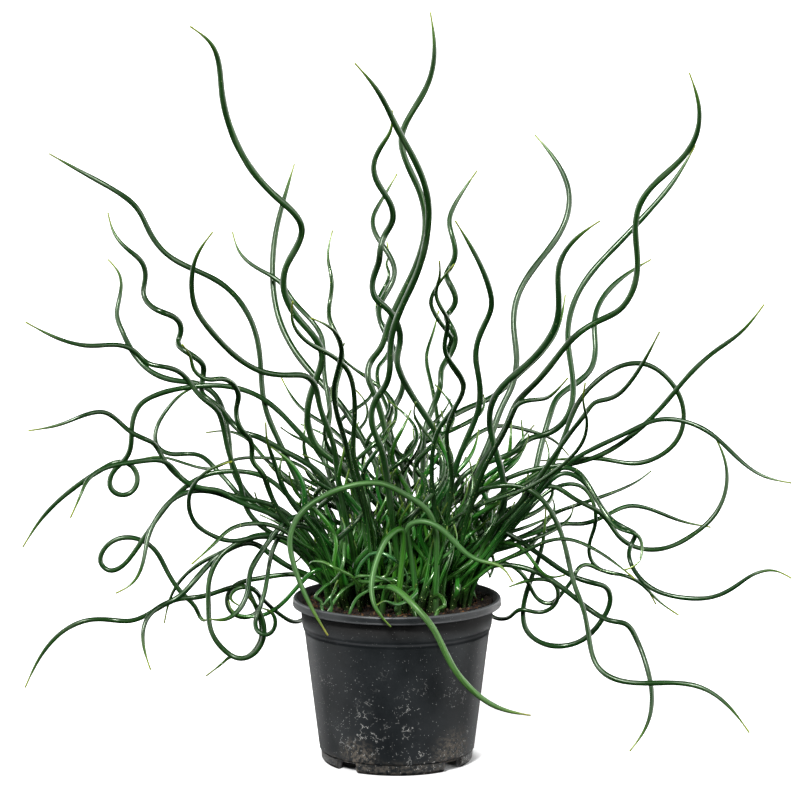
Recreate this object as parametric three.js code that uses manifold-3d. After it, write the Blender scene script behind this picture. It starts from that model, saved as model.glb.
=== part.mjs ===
// A corkscrew rush (Juncus effusus 'Spiralis') in a 13 cm black plastic nursery pot filled with peat.
// Millimetres, +Z up, the origin on the floor under the middle of the pot, -Y towards the front.
// The stems grow from the soil, coil and arch outwards and end in thin tips. Each long stem is one
// body. The short ones grow from shared crowns, and each crown with its stems is one body.
import * as THREE from "three";
import { mergeVertices } from "three/addons/utils/BufferGeometryUtils.js";
import Module from "manifold-3d";

// ---- Pot --------------------------------------------------------------------------------------
const POT_SIDES = 36;
const POT_HEIGHT = 104;
const RIM_RADIUS = 65.5;
const RIM_BAND = 5; // height of the turned-over lip
const MOUTH_RADIUS = 62.7;
const COLLAR_TOP_RADIUS = 60.5; // the straight band under the lip
const COLLAR_FOOT_RADIUS = 59.6;
const COLLAR_FOOT_Z = 85.4;
const BODY_TOP_RADIUS = 57.9; // the tapered wall under the collar's step
const BODY_TOP_Z = 83.2;
const BODY_FOOT_RADIUS = 48.7;
const BODY_FOOT_Z = 7.8;
const FOOT_RING_RADIUS = 47.9;
const FOOT_RING_Z = 6.9;
const FLOOR_RING_RADIUS = 46.1; // where the foot ring meets the floor
const FLOOR_RING_INNER = 43.6;
const BASE_UNDERSIDE_Z = 7.6;
const BASE_THICKNESS = 1.6;
const WALL = 1.4;
const NOTCH_COUNT = 4; // gaps in the foot ring that let water out
const NOTCH_WIDTH = 16;
const NOTCH_HEIGHT = 6.3;
const NOTCH_TURN = THREE.MathUtils.degToRad(3.2); // past an even setting to left and right
const DRAIN_RADIUS = 4.5;
const DRAIN_SIDES = 8;
const DRAIN_RING_RADIUS = 34;

// ---- Soil -------------------------------------------------------------------------------------
const SOIL_SIDES = 24;
const SOIL_TOP_Z = 99.2;
const SOIL_RINGS = [40];
const SOIL_UNEVENNESS = 1.1;
const FIT_GAP = 0.35; // clearance between the soil and what it touches
const NECK = 3; // height above the soil up to which a stem stands upright
const ROOT_DEPTH = 12; // how far a stem goes down into its hole
const HOLE_SIDES = 5;
const CROWN_RADIUS = 5.2;
const CROWN_DEPTH = 10;
const CROWN_SIDES = 7;
const CROWN_DOME = 2; // height of the domed top of a crown
const CROWN_ROOT = 2.2; // distance of a long stem's root from the middle of its crown
const CROWN_ROOT_DEPTH = 5; // how far a crown's stems are sunk in it
const PLANTED_RADIUS = 46; // the stems come up inside this circle

// ---- Stems ------------------------------------------------------------------------------------
const STEM_SIDES = 4;
const THREAD = 0.1; // radius of the thread a stem is swollen from
const TIP_RADIUS = 0.42;
const TIP_TAPER = 27; // length over which a stem swells from its tip
const RING_SAG = 1; // how far a straight facet may stray from the curved stem
const RING_SHORTEST = 6.8;
const RING_LONGEST = 28;
const COIL_REACH = 9.5; // radius of the corkscrew seen from the side
const COIL_WINDOW = 26; // length over which the corkscrew averages out
const CLEARANCE = 0.7; // free gap between two stems that pass each other
const BEND_SPREAD = 19; // length along a stem over which a bend is spread
const FREE_FROM = 24; // distance above the root from which a stem can bend freely
const ROUTE_STEP = 3; // how closely a route is sampled
const ROUTE_DEPTH = 9; // depth in the soil at which a route starts, upright
const COIL_FROM = 40; // the corkscrew grows in depth from here along a stem
const COIL_GROWN = 60; // and is full after this much more
const SELF_SPAN = 24; // a stem can't cross itself between places nearer than this along it
const CROWN_SPAN = 28; // up to here from their roots the stems of one crown may join
const CROSSING_SPAN = 28; // pieces nearer than this along both stems are of one crossing
const CROSSING_MARGIN = 0.6; // stems that pass this near each other's clearance count as crossing
const PUSH_SHARE = 0.7; // share of a bend that is made in one round of bending
const LEAST_FREEDOM = 0.3; // a stem less free than this isn't pushed any harder for it
const BEND_ROUNDS = 300;
const DEPTH_EASE = 0.8; // how late along its route a stem gains its depth
const ROOT_GAP = 2; // soil left between two holes
const SPREAD_ROUNDS = 400;

// Where the stems' routes are laid out from. A waypoint [u, w] is the place in the upright plane
// through the pot's axis that the stem seems to pass from here, and its depth moves it along that
// line of sight, nearer or farther. Stems that would cross are bent clear in depth only.
const VIEWPOINT = new THREE.Vector3(1.9, -2200, 552.7);

const DARK = new THREE.Color(0x21452a);
const MIDDLE = new THREE.Color(0x35692f);
const LIGHT = new THREE.Color(0x6d9a4c);

// Each long stem: its root on the soil [x, y], its diameter, the depth of its tip, and the waypoints
// from the tip down to the crown. A third number in a waypoint is its depth.
const LONG_STEMS = [
  // The tall ones, which coil up over the middle.
  {
    root: [-15, -4], diameter: 4.2, depth: -80, color: DARK,
    route: [[-126.5, 459.5], [-117, 452.5], [-110.5, 443], [-108.3, 425], [-104, 402], [-96, 383], [-83, 363],
      [-66, 347.5], [-58.8, 337], [-61, 326], [-68, 313.5], [-70.2, 300], [-66.7, 287.5], [-56.7, 274],
      [-48, 263], [-46.4, 252.5], [-50, 243], [-54, 231], [-55.6, 219], [-54, 207.5], [-47.5, 196.5],
      [-37, 188], [-28, 176], [-22, 160], [-19, 140]],
  },
  {
    root: [-21, 33], diameter: 3.2, depth: 120, color: DARK,
    route: [[-101.5, 333], [-99, 323.5], [-92, 315], [-79, 306], [-70.4, 300], [-65, 291.5], [-57, 282.5],
      [-49, 273], [-45.5, 263], [-45.6, 251], [-44.8, 240], [-42.5, 229], [-41.8, 218], [-44.5, 205],
      [-45.5, 194], [-42, 181], [-36, 164], [-30, 146]],
  },
  {
    root: [-3, 38], diameter: 4.1, depth: 150, color: DARK,
    route: [[-63.2, 375], [-66.7, 362.5], [-71.3, 348], [-75, 332], [-76.8, 313], [-76.4, 297], [-73.8, 282],
      [-68.5, 268], [-59.5, 253.5], [-47.5, 239.5], [-35, 225.5], [-26, 212], [-19, 199], [-13.5, 188],
      [-9, 172], [-6, 150]],
  },
  {
    root: [-24, -9], diameter: 3.6, depth: -110, color: DARK,
    route: [[-113.9, 333], [-122, 322], [-126.5, 309], [-126.6, 295], [-122, 280], [-110, 266],
      [-96.7, 253], [-84, 246.2], [-70, 244], [-58, 243.7], [-51.5, 238.5], [-49, 230], [-47, 220],
      [-42, 208], [-38.5, 195], [-37.5, 182], [-34, 165], [-30, 145]],
  },
  {
    root: [-28, 21], diameter: 3.6, depth: 60, color: DARK,
    route: [[-214, 381.5], [-200, 374], [-178.6, 361], [-167.5, 355], [-159, 346], [-151, 330], [-143, 320],
      [-130, 312], [-112, 303.5], [-99, 292], [-90.5, 278.5], [-86, 263], [-84.4, 246], [-83.6, 231],
      [-79.5, 217], [-74, 203.5], [-67.5, 190], [-61, 175], [-54.5, 161], [-47, 146], [-39, 130]],
  },
  {
    root: [3, -12], diameter: 4, depth: -120, color: DARK,
    route: [[-25.7, 437], [-17.5, 427.5], [-9.6, 416.7], [-3.3, 404], [2.5, 393], [9.2, 381], [15.4, 367.5],
      [19.2, 352.5], [19.2, 336], [16, 319], [11.5, 305], [4, 289], [-2, 272], [-4.5, 258], [-4.5, 247],
      [-8, 236], [-14, 227], [-16, 217], [-13, 206], [-9, 195], [-6, 178], [-3, 155]],
  },
  {
    root: [5, 19], diameter: 4.1, depth: 40, color: DARK,
    route: [[20.5, 468], [22.7, 453], [22.5, 437], [19.2, 425], [12.5, 412.5], [6, 401], [2.6, 389],
      [6, 376], [12.5, 362], [17, 347], [17, 331], [12, 313], [4.5, 297], [-2.5, 282], [-7.5, 269],
      [-11, 259.5], [-16.5, 252], [-18, 243], [-14, 232], [-10.5, 221], [-7, 208], [-3.5, 192],
      [2, 172], [4, 150]],
  },
  {
    root: [19, 0], diameter: 4, depth: -60, color: DARK,
    route: [[-2.8, 408], [-3.8, 396], [-10.8, 384], [-14.3, 372], [-10.4, 361], [-3.3, 349], [-3.4, 338],
      [-9.6, 327.5], [-10.6, 317], [-15, 303], [-13.8, 293], [-6.7, 286], [0.5, 275.5], [2.2, 266.5],
      [0, 256], [2, 246], [6, 237], [12, 227], [19, 216.5], [24.5, 208], [28, 195], [28, 178], [25, 155]],
  },
  {
    root: [11, 37], diameter: 3.7, depth: 140, color: DARK,
    route: [[0, 369], [-5.8, 358], [-12.9, 347.5], [-15, 337], [-9.6, 326], [-3, 315.5], [-1.6, 305.5],
      [-8.3, 292], [-11.3, 282.5], [-8.5, 273], [-3, 263], [-0.5, 253], [3, 244], [3.8, 236], [0.5, 228],
      [-4, 220], [-5, 211], [-2, 202], [2, 191], [6, 175], [10, 153]],
  },
  {
    root: [13, 30], diameter: 3.9, depth: 100, color: DARK,
    route: [[49.3, 371], [41.7, 359], [34.2, 347.5], [32.3, 338], [35.6, 325], [35.3, 316], [30.6, 306],
      [35, 296.5], [35.8, 288], [30.6, 279.5], [35.8, 270.5], [35.3, 261], [30, 252.5], [26.8, 244],
      [27, 236.5], [24, 228], [20.5, 220], [17.7, 210], [16.3, 200], [16.3, 188], [16, 174], [15, 155]],
  },
  {
    root: [31, -3], diameter: 3.7, depth: -90, color: DARK,
    route: [[36.1, 340], [45, 326], [53.3, 307.5], [58.8, 291], [56.2, 279], [50.4, 267], [48.9, 254],
      [51.3, 239], [51.3, 226], [48.5, 216], [43.8, 204.5], [39, 194], [35.5, 182.5], [32.5, 166],
      [30, 148]],
  },
  {
    root: [31, 33], diameter: 4.1, depth: 120, color: DARK,
    route: [[85, 393], [95, 381], [103, 368], [106.4, 352], [101.5, 334], [90, 318], [78, 300.5],
      [72.5, 284], [73, 266], [74.3, 251], [71, 236], [65, 223.5], [60, 209.5], [56, 198], [50.5, 186],
      [46, 173], [42, 158], [38, 143]],
  },
  {
    root: [39, 0], diameter: 4, depth: -60, color: DARK,
    route: [[125.2, 340], [115, 333], [105, 322.5], [99.6, 309], [100.3, 290], [97.9, 274], [89.2, 260],
      [77.5, 248], [65.8, 237.5], [59, 225.5], [57.5, 214], [60, 202.5], [63.5, 190], [66.3, 177],
      [66.9, 165], [64.5, 153], [57, 142], [49, 130]],
  },
  {
    root: [23, 24], diameter: 3.8, depth: 70, color: DARK,
    route: [[183.6, 386.6], [174, 369.5], [160.6, 352.7], [148.3, 338], [129.2, 318], [116, 302],
      [108.5, 286], [106, 270], [107.3, 256], [109.3, 240], [108.3, 224], [102.5, 213], [93, 207],
      [81, 203], [73, 195.5], [62, 191], [50, 186.5], [40, 179], [34, 166], [29, 148]],
  },
  {
    root: [36, 2], diameter: 3.9, depth: -50, color: DARK,
    route: [[179.5, 431], [184.5, 416], [186, 403], [182.5, 389], [174, 377], [159, 363], [150, 350.5],
      [147.3, 337], [148.8, 317], [146.7, 299], [137, 284], [120, 275.4], [106, 264], [94.2, 248],
      [83.3, 236], [73.5, 225], [69, 214], [63.5, 203], [57.5, 194.5], [51.5, 185], [47, 171], [44, 154]],
  },
  {
    root: [30, 38], diameter: 4, depth: 150, color: DARK,
    route: [[156.9, 316], [145.8, 309.6], [130, 296], [122.8, 281], [123.2, 262], [119, 245.5], [106, 235],
      [98.5, 228], [94.5, 216], [91.5, 205], [88, 192.5], [85.5, 181], [80, 168], [71, 155], [61, 143],
      [51, 131]],
  },
  {
    root: [40, -5], diameter: 3, depth: -110, color: DARK,
    route: [[162.8, 271], [157.5, 260], [149.2, 246], [140, 234], [130.5, 228.7], [122, 226],
      [116.5, 218.5], [111, 211.5], [104.5, 203.5], [98, 193], [90, 181], [80, 168], [68, 154], [57, 142]],
  },
  {
    root: [42, 20], diameter: 3.2, depth: 50, color: DARK,
    route: [[90, 190], [105, 190.5], [121, 192], [133, 190.3], [145, 188.3], [157, 190], [168, 196],
      [175.5, 205], [178.5, 217], [176.5, 229], [169, 241], [157, 250], [143, 250.8], [129, 244],
      [116, 231.5], [109, 219], [104.5, 206.5], [100, 194], [93, 182], [82, 168], [70, 154], [58, 141]],
  },
  {
    root: [17, 2], diameter: 3.2, depth: -40, color: DARK,
    route: [[227.3, 288], [220.8, 279], [208, 266], [194, 256.5], [184.2, 247], [173, 233.5], [160, 219],
      [148, 207.5], [136, 199], [122, 191.5], [104, 187.3], [87.5, 185], [72, 180.5], [58, 173],
      [45, 165], [34, 154], [26, 140]],
  },
  // The left-hand spray.
  {
    root: [-26, 19], diameter: 3.7, depth: 40, color: DARK,
    route: [[-178.3, 345], [-176.5, 336], [-168, 324], [-158, 315], [-155.7, 305], [-156.8, 294],
      [-150, 285], [-139, 281], [-134, 273], [-135.7, 263], [-128.3, 257], [-120.4, 250.5],
      [-120.8, 241], [-121, 232], [-114, 226.5], [-107.5, 220.5], [-102, 213], [-94, 207], [-86, 205],
      [-78, 200.5], [-70, 196], [-60, 190.5], [-50, 184], [-41, 173], [-35, 158], [-32, 140]],
  },
  {
    root: [-33, 30], diameter: 3.7, depth: 110, color: DARK,
    route: [[-178.5, 316], [-171.3, 306], [-171.4, 293], [-173.4, 280], [-167.5, 266], [-161, 254],
      [-150, 244.5], [-135, 240], [-124, 238.5], [-115.5, 234], [-109.5, 226], [-107, 216],
      [-105, 206], [-104.5, 196], [-102.5, 186], [-98.5, 177], [-93.5, 168.5], [-85, 160.5],
      [-74, 153.5], [-62, 145], [-51, 134]],
  },
  {
    root: [-37, 2], diameter: 3.2, depth: -50, color: DARK,
    route: [[-230, 277], [-212.5, 268], [-196, 262.5], [-175, 263], [-164, 259.5], [-154, 251],
      [-139.2, 248], [-130, 241.5], [-125.5, 234], [-119, 228], [-111, 220.5], [-108, 210],
      [-105.8, 200], [-103, 189], [-99, 179], [-96, 169], [-94, 160], [-87, 150.5], [-76, 143],
      [-64, 136], [-53, 127]],
  },
  {
    root: [-33, 25], diameter: 3, depth: 80, color: DARK,
    route: [[-119, 238.5], [-130, 234.5], [-139, 227], [-146, 218], [-150.3, 208], [-149.5, 199.5],
      [-141, 194.2], [-126, 194.4], [-118, 190.5], [-113, 184.5], [-104.5, 175.5], [-96, 166],
      [-86, 160], [-74, 153.5], [-62, 144], [-51, 131]],
  },
  {
    root: [-35, 2], diameter: 3.1, depth: -45, color: DARK,
    route: [[-229.3, 209], [-216, 211], [-200, 216.3], [-186, 221], [-177, 218.3], [-169, 210.5],
      [-158.5, 204], [-151.3, 201], [-147.5, 194], [-140, 184.5], [-132, 176.3], [-122, 171.2],
      [-108, 169.8], [-95, 165.7], [-81, 163.3], [-70, 157.5], [-59, 147], [-50, 133]],
  },
  {
    root: [-8, 20], diameter: 3.4, depth: 50, color: DARK,
    route: [[-234, 135.5], [-226, 148.5], [-214, 162], [-200, 174], [-188, 182], [-177, 188.3],
      [-169.5, 189.2], [-164.3, 185.5], [-161.9, 178], [-165, 170.8], [-172, 168.2], [-178.2, 171.8],
      [-179, 179], [-174, 186.3], [-168, 193], [-165.2, 203], [-164.8, 213], [-162, 222.5],
      [-153, 230], [-140, 234], [-123, 237.3], [-105, 236.8], [-91, 233], [-78.5, 226], [-66, 213],
      [-54, 201], [-42, 191], [-30, 182], [-21, 169], [-15, 150]],
  },
  {
    root: [-38, -3], diameter: 3.4, depth: -70, color: DARK,
    route: [[-204, 154], [-198.5, 165], [-194.5, 176], [-186, 183.5], [-176, 187.3], [-164, 189.2],
      [-151, 190.7], [-143, 188.3], [-134, 178.5], [-126, 173.5], [-112, 171.3], [-102, 166],
      [-92, 161.5], [-81, 157.5], [-70, 151], [-60, 140], [-51, 127]],
  },
  {
    root: [-36, -6], diameter: 2.9, depth: -90, color: DARK,
    route: [[-103, 189.5], [-114.7, 184.7], [-124, 179], [-128.8, 170], [-129.8, 160], [-124, 148],
      [-113, 141.8], [-100, 139.2], [-86, 142.3], [-74, 142.3], [-62, 137], [-52, 127]],
  },
  {
    root: [-31, 16], diameter: 3.2, depth: 30, color: DARK,
    route: [[-118.5, 89.3], [-122, 88.5], [-126, 96], [-133, 104], [-141, 114], [-147, 126.5],
      [-155, 137], [-168, 141.6], [-178, 138.8], [-184.5, 132], [-185.2, 124], [-179, 120.2],
      [-171.5, 123.5], [-163, 134], [-154.5, 146.5], [-143, 163], [-130, 174.5], [-117, 181.7],
      [-104, 183.4], [-90, 182], [-77, 176.8], [-67, 166], [-57, 153], [-48, 137]],
  },
  {
    root: [-38, 0], diameter: 3.3, depth: -60, color: DARK,
    route: [[-176, 106], [-167, 111], [-160.5, 121], [-157.3, 134], [-154, 146.5], [-145.5, 160],
      [-137, 167.5], [-124, 171], [-110, 169], [-100, 164.3], [-88, 160], [-77, 155.5], [-66, 147.5],
      [-56, 135]],
  },
  {
    root: [-38, 2], diameter: 3.6, depth: -40, color: DARK,
    route: [[-155, 57], [-158, 67], [-159.6, 78], [-157.5, 88.5], [-150, 96.5], [-140, 101.5],
      [-132, 107.5], [-125.5, 116], [-117, 125], [-106, 133.2], [-93, 138.2], [-82, 133],
      [-73, 125.5], [-64, 121], [-55, 118]],
  },
  {
    root: [-39, 2], diameter: 3.3, depth: -45, color: DARK,
    route: [[-94.5, 104.5], [-91.2, 103], [-88.5, 97.5], [-85.2, 91], [-83.3, 82], [-86, 71.5],
      [-92.5, 65.3], [-100, 64.2], [-108, 69], [-114.5, 77], [-118, 87], [-118.2, 100], [-118, 112],
      [-115, 122.5], [-108, 132], [-98, 138.5], [-86, 141.5], [-75, 141], [-64, 134]],
  },
  {
    root: [-30, -3], diameter: 3.3, depth: -70, color: MIDDLE,
    route: [[-117.5, 89.3], [-110, 88.5], [-102, 92.5], [-96, 100], [-93.5, 108], [-92.3, 118],
      [-88, 128], [-80.5, 138], [-73, 148], [-65, 154], [-56, 155], [-48, 148], [-42, 135]],
  },
  {
    root: [-40, 14], diameter: 3.2, depth: 20, color: DARK,
    route: [[-234, 45.5], [-228, 58.5], [-220.5, 70.5], [-211, 80.5], [-199, 87], [-186, 89.6],
      [-170, 87.8], [-158, 91.5], [-147, 98], [-135, 102.6], [-122, 103.7], [-111, 107.2],
      [-103, 109.3], [-96, 110.3], [-89.5, 108.3], [-85.6, 103], [-85.8, 96.5], [-90, 92], [-97, 90.7],
      [-103, 93.2], [-106.5, 99], [-105.8, 105.5], [-101, 111], [-93, 114.5], [-84, 115.3],
      [-74, 116.7], [-64, 117.7], [-57, 118]],
  },
  {
    root: [-29, 0], diameter: 2.9, depth: -60, color: MIDDLE,
    route: [[-84, 96.2], [-79.5, 95], [-76.8, 89], [-77.5, 82.5], [-83, 79], [-88, 82.5], [-88.8, 88.5],
      [-85.8, 97], [-83.5, 106], [-81.5, 116], [-78.8, 128], [-76, 137.5], [-70, 146], [-61, 149],
      [-52, 144], [-45, 132]],
  },
  {
    root: [-10, 40], diameter: 2.7, depth: -4, color: DARK,
    route: [[-98, 97.5], [-103.3, 100], [-104.3, 105.2], [-99.5, 109], [-92.5, 109.3, 0],
      [-86.5, 105], [-80.5, 98.5], [-73.5, 92.5], [-66.5, 88, 34], [-60, 88.5, 44], [-54, 94.5, 56],
      [-48, 106, 69], [-43, 119, 74], [-37, 131, 69], [-28, 137, 58], [-20, 130, 46]],
  },
  // The right-hand spray.
  {
    root: [42, 0], diameter: 3, depth: -60, color: DARK,
    route: [[246, 176], [231, 179.3], [219, 186], [208, 196], [199, 204.5], [189, 211], [175, 215.7],
      [161, 215.5], [149, 210.5], [135, 203.5], [121, 197], [108, 189.3], [96, 180], [84, 167.5],
      [73, 155.5], [62, 143]],
  },
  {
    root: [42, 21], diameter: 3.1, depth: 60, color: DARK,
    route: [[196.5, 208], [203, 195], [206, 180], [203, 164], [195, 151.5], [184, 142.5], [171, 136],
      [159, 133.3], [147, 136.5], [136, 145], [130, 154.5], [120, 161.5], [108, 167.5], [98, 173.8],
      [88, 172], [78, 163.5], [68, 152], [58, 138]],
  },
  {
    root: [42, -2], diameter: 3, depth: -65, color: DARK,
    route: [[247, 115.5], [238, 120], [227, 119.5], [214, 111.5], [201, 104.3], [186, 102.5],
      [169, 105.2], [156, 111.5], [148.5, 121], [145.2, 130], [147, 138], [149, 143], [144, 147],
      [136, 151], [128.5, 160], [121, 171.5], [112, 180], [103, 182], [93, 174.5], [83, 163],
      [72, 150], [61, 137]],
  },
  {
    root: [36, 2], diameter: 3.4, depth: -45, color: DARK,
    route: [[147, 4.5], [153, 12.5], [158.5, 24], [160.5, 37], [159, 52], [154.5, 66], [149, 79.5],
      [143.5, 86.3], [133, 88.6], [121, 95], [108, 106], [94, 116], [80, 121.8], [66.5, 124],
      [55, 121.5], [46, 114]],
  },
  {
    root: [29, -17], diameter: 3.2, depth: -104, color: DARK,
    route: [[222, 16.5], [212, 30], [200, 41], [188, 46.5], [174, 48.4], [156, 48.1], [141, 49.7],
      [129, 55.5], [122.8, 66], [120, 82], [116, 99], [111, 112], [107, 128], [103.5, 142], [97, 156.5],
      [88, 168], [76, 173.7], [62, 174.3], [49, 168.5], [40, 157], [34, 141]],
  },
  {
    root: [30, 16], diameter: 3.4, depth: 30, color: DARK,
    route: [[93, 163], [92.6, 150], [91, 137], [87, 123], [83, 112], [80.3, 101], [79, 91], [81.5, 82],
      [89, 75], [101, 72], [114, 74.5], [124, 83], [131, 93], [133.8, 103], [130.5, 110.3],
      [122, 112.5], [113, 115.5], [101, 121.8], [91, 129.5], [80, 137], [67, 145.5], [57, 149.5],
      [51, 157], [45, 162.5], [39, 158], [35, 144]],
  },
  {
    root: [15, 41], diameter: 2.7, depth: 8, color: DARK,
    route: [[70.5, 110], [77, 111], [85, 113.8], [93, 115], [99.5, 111], [101, 104], [98, 97.5],
      [92, 93.8], [85.5, 94], [79, 95.8, 22], [72, 91.2], [65, 89.3, 36], [58.5, 92.5, 48],
      [53, 103, 64], [47, 118, 73], [40, 130, 68], [31, 137, 58], [22, 130, 46]],
  },
  // The light green ones that arch over the front.
  {
    root: [24, -30], diameter: 3.6, depth: -66, color: LIGHT,
    route: [[-43.5, 79, -66], [-50, 90, -66], [-54, 97.5, -65], [-58, 106, -64], [-62, 116, -62],
      [-65.5, 128, -60], [-66.8, 140, -58], [-65, 149, -57], [-59, 157.5, -56], [-50, 165, -55],
      [-38, 171, -54], [-25, 175, -53], [-12, 176, -52], [-2, 172.5, -50], [10.5, 165, -46],
      [20, 157, -42], [24, 146, -38], [25, 130, -34]],
  },
  {
    root: [12, -27], diameter: 3.7, depth: -60, color: LIGHT,
    route: [[72.5, 113, -62], [69, 119, -60], [63, 124, -56], [54, 126, -54], [44, 130.5, -52],
      [33, 142.5, -50], [25, 148.5, -49], [16, 151.5, -47], [9, 150.5, -44], [6.5, 144, -40],
      [8, 134, -35], [10, 122, -31]],
  },
  {
    root: [-9, -31], diameter: 4, depth: -52, color: LIGHT,
    route: [[84, 27.5, -52], [74, 29, -57], [64, 32.3, -62], [54, 38.5, -66], [44, 47, -70],
      [35, 59, -73], [28, 73, -75], [21, 86, -75], [13, 95.5, -72], [6, 103, -66],
      [-1, 108.5, -56], [-5.5, 109.5, -46], [-7, 106.5, -38]],
  },
  {
    root: [1, -35], diameter: 3.7, depth: -74, color: LIGHT,
    route: [[-4, 84.5, -75], [-9, 90, -75], [-13.5, 97, -73], [-16, 106, -69], [-15, 115, -65],
      [-11.5, 130, -59], [-7, 138.5, -55], [-2, 145, -51], [2.5, 147, -47], [4, 140, -43],
      [3, 126, -39]],
  },
];

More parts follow.
